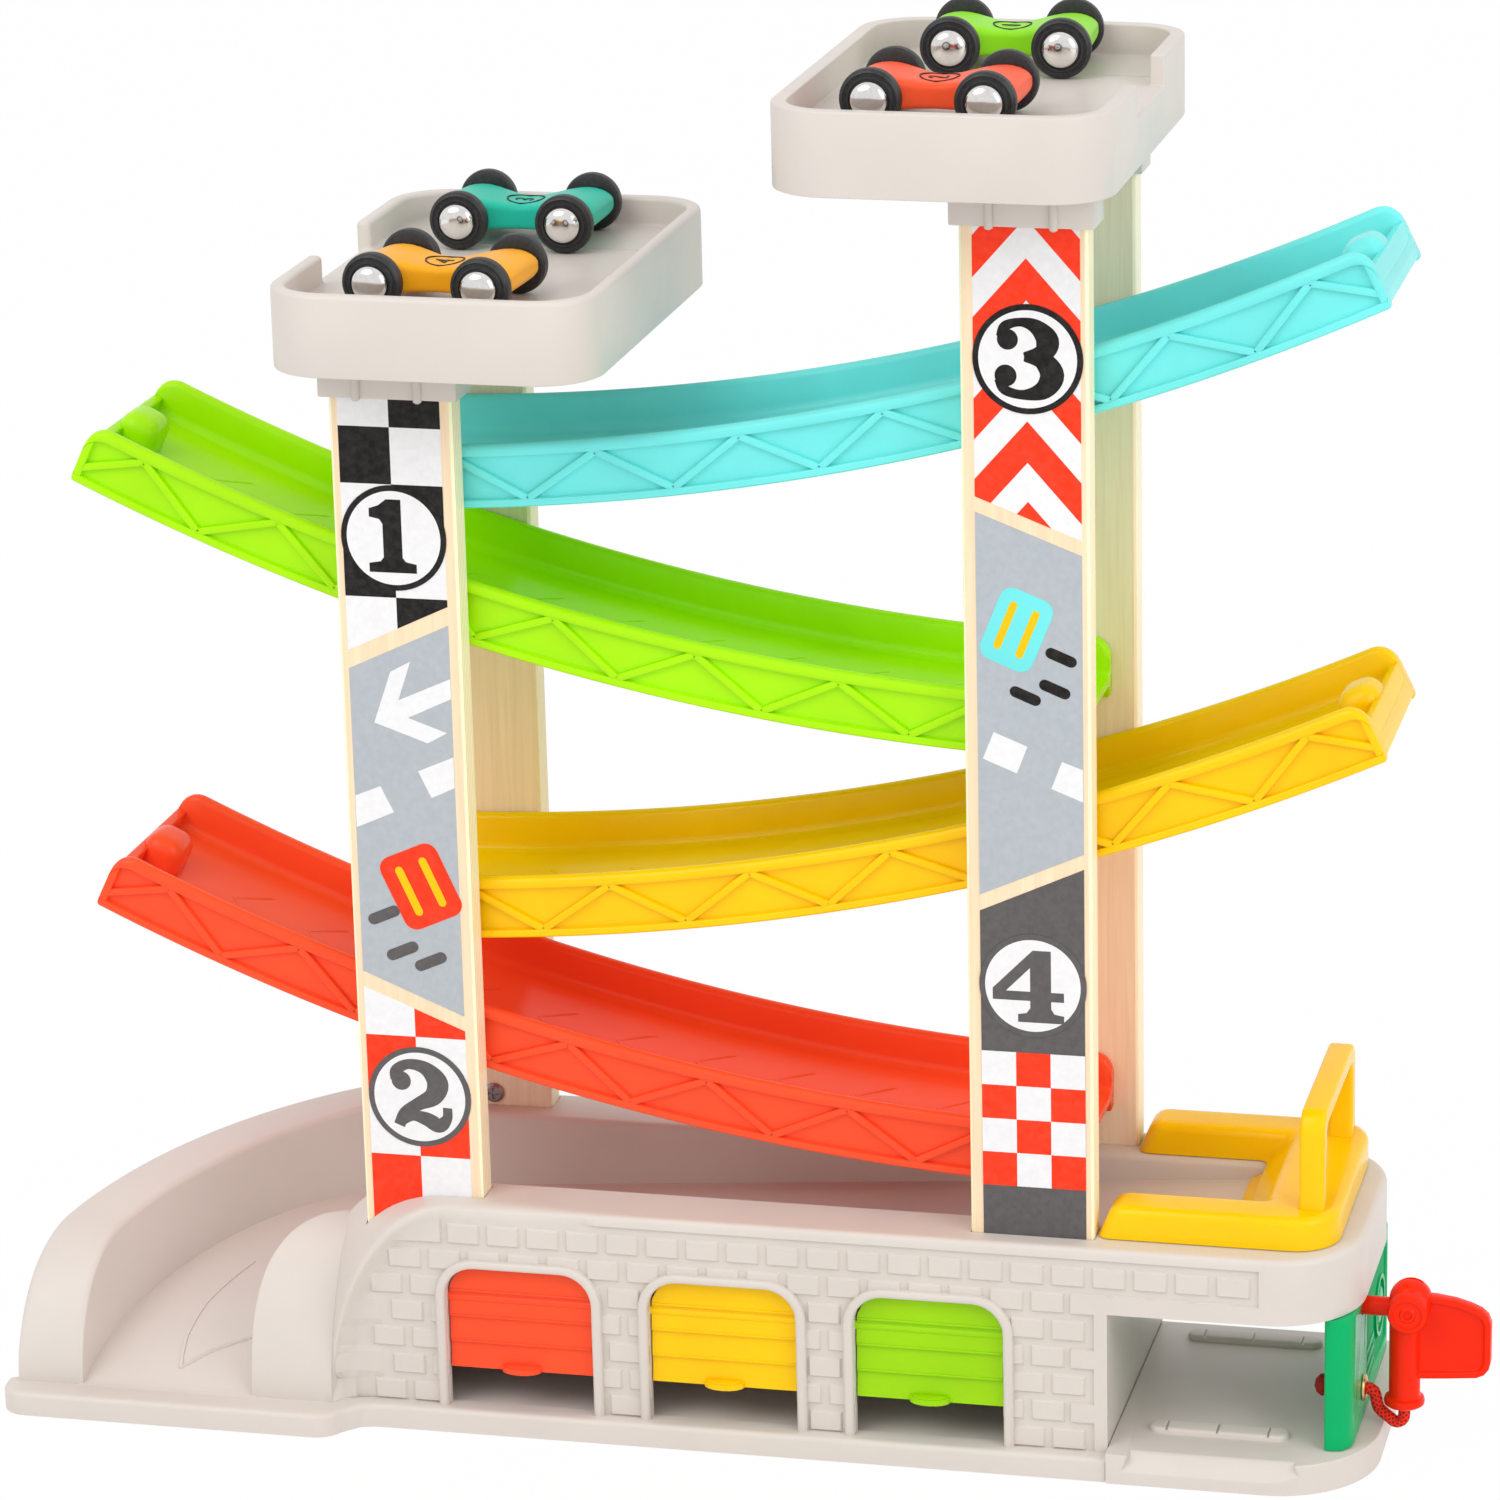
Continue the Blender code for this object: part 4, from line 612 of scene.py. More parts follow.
def channel_floor(x):
    """The straight channel's floor height at an X."""
    return FLOOR_LOW + FLOOR_RISE * (x - PIVOT_X) / FLOOR_RUN


def bend_floor(angle):
    """The bend's floor height at an angle from the exit, steepest by the exit."""
    share = (math.sin(math.radians(angle)) + angle / 90) / 2
    return FLOOR_EXIT + (FLOOR_LOW - FLOOR_EXIT) * share


def bend_point(angle, radius, z):
    """A point of the bend by its angle from the exit and its distance from the pivot."""
    a = math.radians(angle)
    return (PIVOT_X - radius * math.cos(a), PIVOT_Y + radius * math.sin(a), z)


def ridge(x):
    """Height of the front block's front edge, which rises from the exit in a long nose."""
    share = min(1.0, max(0.0, NOSE_LEAN * (x - PIVOT_X) / NOSE_REACH))
    return PLINTH_TOP + (BASE_TOP - PLINTH_TOP) * math.sqrt(1 - (1 - share) ** 2)


RIDGE_LINE = [(x, ridge(x)) for x in (PIVOT_X + 42 * MM * k / 90 for k in range(91))]


class TOYGARAGE_OT_base(GarageOperator, bpy.types.Operator):
    """Make the base moulding: the winding channel, the brick front, the roof and the foot"""

    bl_idname = "toygarage.base"
    bl_label = "Base moulding"

    def make(self, sizes):
        self.sizes = sizes
        shell = self.outer_wall()
        join(shell, self.channel())
        join(shell, self.front())
        join(shell, self.foot())
        join(shell, block((WALL, 78 * MM, 55.5 * MM),
                          (GARAGE_RIGHT - WALL / 2 - 0.05 * MM, 7.5 * MM, 28 * MM)))
        self.mark(shell)
        piece("base_shell", shell, ["shell"], "garage", ["base_housing"], 36.0)

    def outer_wall(self):
        """The wall round the channel's bend, along the back and round the roof's end."""
        width = BASE_OUTER - CHANNEL_OUTER
        stations = []
        for k in range(25):
            turn = math.radians(90 * k / 24)
            angle = -1 + 20 * (1 - math.cos(turn))
            stations.append((angle, math.sin(turn)))
        stations += [(19 + 71 * k / 40, 1.0) for k in range(1, 41)]
        sections = []
        for angle, rise in stations:
            line = RIM_START + RIM_PER_DEGREE * angle
            rim = min(BASE_TOP, PLINTH_TOP + (line - PLINTH_TOP) * rise)
            low = min(bend_floor(max(0.0, angle)) - WALL, rim - 1.5 * MM)
            a = math.radians(angle)
            inner = Vector(bend_point(angle, CHANNEL_OUTER, 0))
            out = Vector((-math.cos(a), math.sin(a), 0))
            sections.append(self.wall_section(inner, out, width, rim, low, 0.0,
                                              TOP_ROUND * min(1, 2 * rise)))
        ahead = Vector((0, 1, 0))
        run = [PIVOT_X + (GARAGE_RIGHT - PIVOT_X) * k / 24 for k in range(1, 25)]
        middle = ROOF_RIGHT - ROOF_CORNER
        over_station = [GARAGE_RIGHT + (middle - GARAGE_RIGHT) * k / 5 for k in range(6)]
        for x, foot in [(x, 0.0) for x in run] + [(x, ROOF_UNDER) for x in over_station]:
            sections.append(self.wall_section(Vector((x, CHANNEL_REAR, 0)), ahead, width, BASE_TOP,
                                              channel_floor(x) - WALL, foot, TOP_ROUND))
        low = channel_floor(middle) - WALL
        for cy, start in ((BASE_REAR - ROOF_CORNER, 90), (WALL_FACE + ROOF_CORNER, 0)):
            for k in range(19):
                a = math.radians(start - 5 * k)
                out = Vector((math.cos(a), math.sin(a), 0))
                inner = Vector((middle, cy, 0)) + ROOF_INNER * out
                sections.append(self.wall_section(inner, out, width, BASE_TOP, low, ROOF_UNDER,
                                                  TOP_ROUND))
        slots = [self.slot(name) for name in ("post_rear_left", "post_rear_right")]
        return subtract(skin(sections), slots)

    def slot(self, name):
        """The space for a post's foot."""
        low, high = (Vector(c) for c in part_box(name))
        size = high - low + Vector((0.5 * MM, 0.5 * MM, 0))
        return block((size.x, size.y, size.z), ((low + high) / 2))

    def wall_section(self, inner, out, width, rim, low, foot, r):
        """A section of the outer wall: a wide rounded top over a thin skin."""
        points = [(width, foot), (width, max(foot, min(ROOF_UNDER, rim - r)))]
        points += arc(width - r, rim - r, r, 0, 90, 4) + [(width / 2, rim)]
        points += arc(r, rim - r, r, 90, 180, 4)
        points += [(0, low), (width - WALL, low),
                   (width - WALL, max(foot, min(ROOF_UNDER, low))), (width - WALL, foot)]
        return [(inner.x + s * out.x, inner.y + s * out.y, z) for s, z in points]

    def channel(self):
        """The floor of the channel, from its exit round the bend and up to the guard."""
        inside, outside = INNER_WALL - FLOOR_LAP, CHANNEL_OUTER + FLOOR_LAP

        def strip(z):
            return ((inside, z), (outside, z), (outside, z - WALL), (inside, z - WALL))

        sections = []
        for angle, z in ((-4.0, 7.4 * MM), (-2.5, 7.72 * MM), (-1.2, 7.95 * MM)):
            shift = math.radians(angle) * 55 * MM
            sections.append([(PIVOT_X - r, PIVOT_Y + shift, h) for r, h in strip(z)])
        for k in range(61):
            angle = 1.5 * k
            sections.append([bend_point(angle, r, h) for r, h in strip(bend_floor(angle))])
        for x in (0.0, 176.5 * MM):
            sections.append([(x, PIVOT_Y + r, h) for r, h in strip(channel_floor(x))])
        return skin(sections)

    def front(self):
        """The front block with its nose and bricks, and the garages cut out of it."""
        right = ROOF_RIGHT - ROOF_CORNER
        columns = [PIVOT_X - INNER_WALL * math.cos(math.radians(90 * k / 26)) for k in range(27)]
        lines = []
        for first in (FIRST_BRICK, SHIFTED_BRICK):
            for k in range(23):
                left = first + k * self.sizes.brick_pitch
                for edge in (left, left + self.sizes.brick_length):
                    lines += [edge + s * BRICK_SOFT for s in (-1.0, -0.35, 0.35, 1.0)]
        lines += [x + s for x in (TOP_ROW_LEFT, ODD_RIGHT, EVEN_RIGHT, TOP_ROW_RIGHT)
                  for s in (-FIELD_SOFT, FIELD_SOFT)]
        lines = sorted(x for x in lines if -112 * MM < x < right - 0.2 * MM)
        x = PIVOT_X
        while x < -112.5 * MM:
            x += 0.7 * MM
            columns.append(x)
        for line in sorted(lines + [GARAGE_RIGHT, right]):
            gap = line - columns[-1]
            most = 1.1 * MM if line < -84 * MM else 4 * MM
            parts = math.ceil(gap / most)
            for k in range(1, parts):
                columns.append(columns[-1] + gap / parts)
            if line - columns[-1] > 0.02 * MM:
                columns.append(line)
        levels = [0.0, 4 * MM, 7.2 * MM, ROOF_UNDER]
        for row in range(ROW_COUNT):
            top = ROW_TOP - row * self.sizes.row_pitch
            for edge in (top, top - self.sizes.brick_height):
                levels += [edge + s * BRICK_SOFT for s in (-1.0, -0.35, 0.35, 1.0)]
        levels += [FIELD_TOP - FIELD_SOFT, FIELD_TOP + FIELD_SOFT]
        levels = sorted(z for z in levels if z <= 7.2 * MM or z > 7.6 * MM)
        sections = []
        for x in columns:
            if x <= GARAGE_RIGHT + 1e-7:
                sections.append(self.column(x, levels, 0.0))
            if x >= GARAGE_RIGHT - 1e-7:
                sections.append(self.column(x, levels, ROOF_UNDER))
        front = skin(sections)
        tools = bmesh.new()
        for _, x in DOORS:
            way = doorway(x, GARAGE_WIDTH, GARAGE_LOW, GARAGE_TOP, GARAGE_CORNER)
            join(tools, solid(upright(way, WALL_FACE - 5 * MM), (0, 9 * MM, 0)))
        front = subtract(front, [tools])
        left, last = -104.0 * MM, GARAGE_RIGHT - WALL
        inner, under_face, depth = WALL_FACE + WALL, -48.5 * MM, 15.7 * MM
        hollow = solid(upright([(left, -MM), (last, -MM), (last, 62 * MM), (left, 45 * MM)], inner),
                       (0, depth, 0))
        under = solid(upright([(left, -MM), (last, -MM),
                               (last, channel_floor(GARAGE_RIGHT) - 6.2 * MM),
                               (left, channel_floor(left) - 3.4 * MM)], under_face),
                      (0, CHANNEL_FRONT + 2 * MM - under_face, 0))
        roof = block((right + MM - GARAGE_RIGHT - WALL, depth, 12 * MM),
                     ((right + MM + GARAGE_RIGHT + WALL) / 2, -41.2 * MM, 56 * MM))
        return subtract(front, [hollow, under, roof, self.slot("post_front_left"),
                                self.slot("post_front_right")])

    def column(self, x, levels, foot):
        """A section of the front block at an X: up the front, over the top, down the back."""
        top = ridge(x)
        edge = NOSE_FRONT + (WALL_FACE - NOSE_FRONT) * smooth((x + 118 * MM) / (34 * MM))
        if x < PIVOT_X:
            back = PIVOT_Y + math.sqrt(max(0.0, INNER_WALL ** 2 - (x - PIVOT_X) ** 2))
        else:
            back = CHANNEL_FRONT
        r = 2.2 * MM + 3.8 * MM * smooth((-20 * MM - x) / (52 * MM))
        r -= 2.5 * MM * smooth((-80 * MM - x) / (12 * MM))
        r = max(0.0, min(r, 0.3 * (top - PLINTH_TOP), 0.4 * (back - edge)))
        face = []
        for z in levels:
            z = min(max(z, foot), top - r)
            face.append((self.face(x, z, edge), z))
        line = self.over(edge, back, NOSE_LEAN * max(0.0, x - PIVOT_X))
        rear = min(1.8 * MM, 0.3 * (back - edge))
        length = line[-1][0]
        first, last = self.spot(line, r), self.spot(line, length - rear)
        end = (back, max(foot, line[-1][1][1] - rear))
        points = face + [self.between(face[-1], line[0][1], first, k / 6) for k in range(1, 7)]
        points += [self.spot(line, r + (length - rear - r) * k / 14) for k in range(1, 14)]
        points += [self.between(last, line[-1][1], end, k / 4) for k in range(5)]
        points += [(back, max(foot, min(ROOF_UNDER, end[1]))), (back, foot)]
        return [(x, y, z) for y, z in points]

    def over(self, edge, back, skew):
        """The line over the block from front to back, as (length so far, (y, z)) pairs."""
        turns = [math.acos(1 - min(1.0, reach / NOSE_REACH))
                 for reach in (skew, back - edge + skew)]
        points = []
        for k in range(41):
            t = turns[0] + (turns[1] - turns[0]) * k / 40
            points.append((edge + NOSE_REACH * (1 - math.cos(t)) - skew,
                           PLINTH_TOP + (BASE_TOP - PLINTH_TOP) * math.sin(t)))
        if turns[0] > 1.57:
            points = [(edge, BASE_TOP)]
        if points[-1][0] < back - 0.01 * MM:
            points.append((back, BASE_TOP))
        line, length = [], 0.0
        for k, point in enumerate(points):
            length += math.dist(point, points[max(0, k - 1)])
            line.append((length, point))
        return line

    def spot(self, line, length):
        """The point at a length along a line."""
        for (a, p), (b, q) in zip(line, line[1:]):
            if length <= b + 1e-9:
                share = min(1.0, max(0.0, (length - a) / max(b - a, 1e-9)))
                return tuple(u + (v - u) * share for u, v in zip(p, q))
        return line[-1][1]

    def between(self, a, b, c, t):
        """A point on the curve from a to c that is drawn towards b."""
        return tuple((1 - t) ** 2 * p + 2 * t * (1 - t) * q + t * t * s for p, q, s in zip(a, b, c))

    def face(self, x, z, edge):
        """How far forward the front is: the nose's edge stands out, the mortar lies back."""
        y, shown = WALL_FACE, 1.0
        if x < -80 * MM:
            gap = min(math.hypot(x - a, z - b) for a, b in RIDGE_LINE)
            if x < PIVOT_X:
                gap = min(gap, max(0.0, z - PLINTH_TOP))
            y = edge + (WALL_FACE - edge) * (1 - math.exp(-(gap / (3.2 * MM)) ** 1.35))
            shown = smooth((gap - 3 * MM) / (2 * MM))
        return y + self.sizes.wall_recess * shown * self.mortar(x, z)

    def mortar(self, x, z):
        """How much of the mortar's depth a spot of the wall has: none on a brick or the border."""
        sizes = self.sizes
        half_gap = (sizes.row_pitch - sizes.brick_height) / 2
        row = max(0, min(ROW_COUNT - 1, int((ROW_TOP + half_gap - z) / sizes.row_pitch)))
        top = ROW_TOP - row * sizes.row_pitch
        above, below = z > top, z < top - sizes.brick_height
        if row == 0:
            left, right = (ODD_LEFT if below else TOP_ROW_LEFT), TOP_ROW_RIGHT
        elif row % 2:
            left, right = ODD_LEFT, (EVEN_RIGHT if above or below else ODD_RIGHT)
        else:
            left, right = EVEN_LEFT, EVEN_RIGHT
        if row == 1 and above:
            right = TOP_ROW_RIGHT
        inside = min(smooth((gap + FIELD_SOFT) / (2 * FIELD_SOFT))
                     for gap in (x - left, right - x, FIELD_TOP - z))
        first = SHIFTED_BRICK if row % 2 else FIRST_BRICK
        along = (x - first + BRICK_SOFT * 1.01) % sizes.brick_pitch - BRICK_SOFT * 1.01
        if along > sizes.brick_length + BRICK_SOFT * 1.2:
            across = -1.0
        else:
            across = min(along, sizes.brick_length - along) / BRICK_SOFT
        height = min(z - top + sizes.brick_height, top - z) / BRICK_SOFT
        brick = min(smooth((across + 1) / 2), smooth((height + 1) / 2))
        number = math.floor((x - first + BRICK_SOFT * 1.01) / sizes.brick_pitch)
        start = first + number * sizes.brick_pitch
        if start + sizes.brick_length > right + 2 * MM or start < left - 3 * MM:
            brick = 0.0
        return inside * (1 - brick)

    def foot(self):
        """The foot along the front, with the wider apron before the channel's exit."""
        left, front, right, corner = (v * MM for v in (-235.2, -68.4, -121.5, 9))
        outline = arc(left + corner, front + corner, corner, 180, 270, 12)
        outline += arc(right - corner, front + corner, corner, 270, 335, 9)
        outline += [(right + 4.2 * MM, PLINTH_FRONT - 1.2 * MM),
                    (right + 8 * MM, PLINTH_FRONT - 0.3 * MM), (right + 12 * MM, PLINTH_FRONT),
                    (GARAGE_RIGHT, PLINTH_FRONT), (GARAGE_RIGHT, WALL_FACE + WALL),
                    (-106.5 * MM, WALL_FACE + WALL), (PIVOT_X, NOSE_FRONT + WALL),
                    (left + 3 * MM, NOSE_FRONT + WALL), (left, NOSE_FRONT + 1.5 * MM)]
        foot = solid(level(outline, 0.0), (0, 0, PLINTH_TOP))
        rounded(foot, 1.9 * MM, 4, 60.0,
                lambda e: min(v.co.z for v in e.verts) > PLINTH_TOP - MM
                and max(v.co.y for v in e.verts) < PLINTH_FRONT + 2.5 * MM)
        return foot

    def mark(self, shell):
        """Two thin raised lines on the bend's floor, which meet near the exit."""
        for spots in (((53.1, 7), (57, 18), (59.4, 29.8), (59.8, 48.2)),
                      ((53.1, 7), (45, 15), (34.7, 22.9), (30, 28))):
            line = []
            for (r0, a0), (r1, a1) in zip(spots, spots[1:]):
                steps = max(2, round(abs(a1 - a0) / 3))
                line += [(r0 + (r1 - r0) * k / steps, a0 + (a1 - a0) * k / steps)
                         for k in range(steps)]
            line = [Vector(bend_point(angle, radius * MM, bend_floor(angle) + 0.1 * MM))
                    for radius, angle in line + [spots[-1]]]
            for p, q in zip(line, line[1:]):
                turn = (q - p).to_track_quat("X", "Z").to_matrix().to_4x4()
                size = ((q - p).length + 0.5 * MM, 0.9 * MM, 0.6 * MM)
                join(shell, block(size, (p + q) / 2, turn))


class TOYGARAGE_OT_door_frames(GarageOperator, bpy.types.Operator):
    """Make the rounded bands round the doors"""

    bl_idname = "toygarage.door_frames"
    bl_label = "Door frames"

    def make(self, sizes):
        for colour, x in DOORS:
            outer = upright(doorway(x, 53.8 * MM, 5.0 * MM, 57.4 * MM, 12.6 * MM), -50.6 * MM)
            inner = upright(doorway(x, 47.6 * MM, 0.0, 54.7 * MM, 9.9 * MM), -50.6 * MM)
            band = frame_solid(outer, inner, (0, -3.1 * MM, 0))
            rounded(band, 0.95 * MM, 3, 60.0, lambda e: max(v.co.y for v in e.verts) < -53.6 * MM)
            piece("door_frame_" + colour, band, ["shell"], "garage")


# Decks, guard and station

DECK_LENGTH, DECK_HALF, DECK_HEIGHT = 101.6 * MM, 76 * MM, 25.3 * MM
DECK_FLOOR, DECK_HOLLOW = 9.5 * MM, 13.2 * MM
POST_WIDTH = 38.6 * MM


class TOYGARAGE_OT_decks(GarageOperator, bpy.types.Operator):
    """Make the decks with their thick rounded rims, ribs and collars"""

    bl_idname = "toygarage.decks"
    bl_label = "Decks"

    def make(self, sizes):
        for name, side, rim in (("left", -1, LEFT_RIM), ("right", 1, RIGHT_RIM)):
            low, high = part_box("deck_" + name)
            inner = high[0] if side < 0 else low[0]
            outer = inner + side * DECK_LENGTH
            x0, x1 = sorted((inner, outer))
            bottom = rim - DECK_HEIGHT
            gate = block((2 * 9.2 * MM, 47 * MM, 19 * MM), (outer, 0, rim))
            deck = subtract(self.tray(x0, x1, bottom, rim), [gate])
            rounded(deck, 1.6 * MM, 4, 50.0,
                    lambda e: min(v.co.z for v in e.verts) > bottom + 4 * MM)
            rounded(deck, 0.6 * MM, 2, 50.0,
                    lambda e: max(v.co.z for v in e.verts) < bottom + 3 * MM)
            self.collars(deck, name, bottom)
            self.floor_lines(deck, x0, x1, rim - DECK_FLOOR)
            piece("deck_tray_" + name, deck, ["shell"], "garage", ["deck_" + name], 38.0)

    def tray(self, x0, x1, bottom, rim):
        """A tub with an upper and a lower hollow."""
        outline = rounded_corners(x0, x1, -DECK_HALF, DECK_HALF, 19 * MM, 8)
        deck = solid(level(outline, bottom), (0, 0, rim - bottom))
        top = max(deck.faces, key=lambda f: f.calc_center_median().z)
        under = min(deck.faces, key=lambda f: f.calc_center_median().z)
        for face, wall, depth in ((top, 4.6 * MM, -DECK_FLOOR), (under, 3.0 * MM, DECK_HOLLOW)):
            bmesh.ops.inset_region(deck, faces=[face], thickness=wall, use_even_offset=True)
            drawn = bmesh.ops.extrude_face_region(deck, geom=[face])
            verts = [v for v in drawn["geom"] if isinstance(v, bmesh.types.BMVert)]
            if face.is_valid:
                bmesh.ops.delete(deck, geom=[face], context="FACES_ONLY")
            bmesh.ops.translate(deck, verts=verts, vec=(0, 0, depth))
        bmesh.ops.recalc_face_normals(deck, faces=deck.faces)
        return deck

    def collars(self, deck, name, bottom):
        """The sockets round the posts' tops, with two ribs on each front one."""
        for end in ("front", "rear"):
            low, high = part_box("post_%s_%s" % (end, name))
            foot = bottom - DECK_HOLLOW
            sides = []
            for out in (2.5 * MM, 0.3 * MM):
                x0, x1 = low[0] - out, high[0] + out
                y0, y1 = low[1] - out, high[1] + out
                sides.append(level([(x0, y0), (x1, y0), (x1, y1), (x0, y1)], foot))
            ring = frame_solid(sides[0], sides[1], (0, 0, 28 * MM))
            rounded(ring, 0.5 * MM, 2)
            join(deck, ring)
            y0 = low[1] - 2.5 * MM
            if end == "front":
                for share in (-0.25, 0.25):
                    x = (low[0] + high[0]) / 2 + share * POST_WIDTH
                    profile = [(0, 0), (0.6, 0), (1.3, 0.5), (1.3, 27), (0, 27)]
                    rib = lathed([(r * MM, h * MM) for r, h in profile], 16,
                                 (x, y0 - 0.2 * MM, foot - 0.8 * MM), (0, 0, 1))
                    join(deck, rib)

    def floor_lines(self, deck, x0, x1, floor):
        """Low lines moulded across the tray's floor."""
        for y in (-38.0, 38.0):
            line = block((x1 - x0 - 12 * MM, 0.7 * MM, 0.4 * MM), ((x0 + x1) / 2, y * MM, floor))
            join(deck, line)


class TOYGARAGE_OT_guard(GarageOperator, bpy.types.Operator):
    """Make the yellow guard with its sloping arms and arch"""

    bl_idname = "toygarage.guard"
    bl_label = "Guard"

    def make(self, sizes):
        low = BASE_TOP + 0.3 * MM
        high = low + 10.4 * MM
        guard = solid(level(self.outline(0.0), low), (0, 0, high - low))
        for vert in guard.verts:
            if vert.co.z > high - 0.1 * MM:
                target = min(zip(self.outline(0.0), self.outline(7.0 * MM)),
                             key=lambda pair: (Vector(pair[0]) - vert.co.xy).length)[1]
                vert.co.x, vert.co.y = target
        bmesh.ops.recalc_face_normals(guard, faces=guard.faces)
        rounded(guard, 2.9 * MM, 5, 30.0, lambda e: min(v.co.z for v in e.verts) > high - MM)
        self.arch(guard, high)
        self.wedge(guard, low)
        piece("guard_body", guard, ["yellow"], "garage", ["guard"], 40.0)

    def outline(self, slope):
        """The guard seen from above, drawn in by a slope at the arms' tips and the inside."""
        left = 117.5 * MM + slope * 0.64
        inner = 159.7 * MM + slope * 1.4
        right, corner, outer, arm, tip, nook = (v * MM for v in (191.5, 14, 43.5, 28, 4, 3))
        return (arc(left + tip, -outer + tip, tip, 180, 270, 4)
                + arc(right - corner, -outer + corner, corner, -90, 0, 9)
                + arc(right - corner, outer - corner, corner, 0, 90, 9)
                + arc(left + tip, outer - tip, tip, 90, 180, 4)
                + arc(left + tip, arm + tip, tip, 180, 270, 4)
                + arc(inner - nook, arm - nook, nook, 90, 0, 4)
                + arc(inner - nook, -arm + nook, nook, 0, -90, 4)
                + arc(left + tip, -arm - tip, tip, 90, 180, 4))

    def arch(self, guard, high):
        """The arch over the guard, a flat band with round corners and flared feet."""
        x, half, top = 182.8 * MM, 34 * MM, 117 * MM
        foot = high - 3 * MM
        outline = ([(half + 2.2 * MM, foot), (half + 0.5 * MM, foot + 8 * MM)]
                   + arc(half - 7 * MM, top - 7 * MM, 7 * MM, 0, 90, 6)
                   + arc(-half + 7 * MM, top - 7 * MM, 7 * MM, 90, 180, 6)
                   + [(-half - 0.5 * MM, foot + 8 * MM), (-half - 2.2 * MM, foot)]
                   + [(-half + 8.5 * MM, foot), (-half + 6 * MM, foot + 9 * MM)]
                   + arc(-half + 9.5 * MM, top - 9.5 * MM, 3.5 * MM, 180, 90, 4)
                   + arc(half - 9.5 * MM, top - 9.5 * MM, 3.5 * MM, 90, 0, 4)
                   + [(half - 6 * MM, foot + 9 * MM), (half - 8.5 * MM, foot)])
        band = solid([(x - 3.9 * MM, y, z) for y, z in outline], (7.8 * MM, 0, 0))
        rounded(band, 1.2 * MM, 3, 50.0)
        join(guard, band)

    def wedge(self, guard, low):
        """The block under the guard that ends the channel."""
        start, end = 154.5 * MM, 175.7 * MM
        rest = 0.3 * MM
        outline = [(start, channel_floor(start) + rest), (end, channel_floor(end) + rest),
                   (end, low + MM), (166.7 * MM, low + MM)]
        wedge = solid(upright(outline, -30.1 * MM), (0, 55.9 * MM, 0))
        join(guard, wedge)


class TOYGARAGE_OT_station(GarageOperator, bpy.types.Operator):
    """Round the station's plate and pump panel, and cut the kerbs' slots"""

    bl_idname = "toygarage.station"
    bl_label = "Filling station"

    def make(self, sizes):
        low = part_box("station_floor")[0][2]
        left, right, front, back, top = (v * MM for v in (122.45, 203.8, -57.7, 46.4, 9.8))
        outline = ([(left, front)] + arc(right - 32 * MM, front + 32 * MM, 32 * MM, 270, 360, 20)
                   + arc(right - 16 * MM, back - 16 * MM, 16 * MM, 0, 90, 12) + [(left, back)])
        plate = solid(level(outline, low), (0, 0, top - low))
        ramp = solid([(129.5 * MM, y * MM, z * MM) for y, z in
                      ((-52.6, 12), (-52.6, 9.9), (-54.0, 9.1), (-59.5, 1.6), (-59.5, 12))],
                     (51.5 * MM, 0, 0))
        for vert in ramp.verts:
            if vert.co.z < 5 * MM:
                vert.co.x += 3.2 * MM * (1 if vert.co.x > 150 * MM else -1)
        plate = subtract(plate, [ramp])
        rounded(plate, 1.0 * MM, 3, 28.0,
                lambda e: e.is_convex and min(v.co.z for v in e.verts) > 1.4 * MM
                and max(v.co.x for v in e.verts) > left + MM)
        for y in (-36.0, 35.6):
            kerb = solid(level(rounded_corners(132.7 * MM, 176.6 * MM, (y - 3.7) * MM,
                                               (y + 3.7) * MM, 3.6 * MM, 8), 9.0 * MM),
                         (0, 0, 2.7 * MM))
            rounded(kerb, 1.2 * MM, 3, 60.0, lambda e: min(v.co.z for v in e.verts) > 11 * MM)
            slots = [block((0.8 * MM, 9 * MM, 1.8 * MM), (x * MM, y * MM, 11.9 * MM))
                     for x in (138.5, 154.4, 170.4)]
            join(plate, subtract(kerb, slots))
        piece("station_plate", plate, ["shell"], "garage", ["station_floor"], 38.0)
        panel = node_copy("fuel_pump")
        rounded(panel, 0.8 * MM, 3, 50.0,
                lambda e: e.is_convex and min(v.co.x for v in e.verts) > 195 * MM
                and e.calc_length() > 1.6 * MM)
        ring = lathed([(8.6 * MM, 0), (8.6 * MM, 1.0 * MM), (10.0 * MM, 1.0 * MM),
                       (10.0 * MM, 0), (8.6 * MM, 0)], 40, (196.2 * MM, 21 * MM, 31.9 * MM),
                      (1, 0, 0))
        join(panel, ring)
        for z in (20.0, 24.0, 28.0):
            bar = block((1.2 * MM, 16 * MM, 1.4 * MM), (196.4 * MM, -1 * MM, z * MM))
            rounded(bar, 0.3 * MM, 2)
            join(panel, bar)
        piece("pump_panel", panel, ["pump"], "garage", ["fuel_pump"])


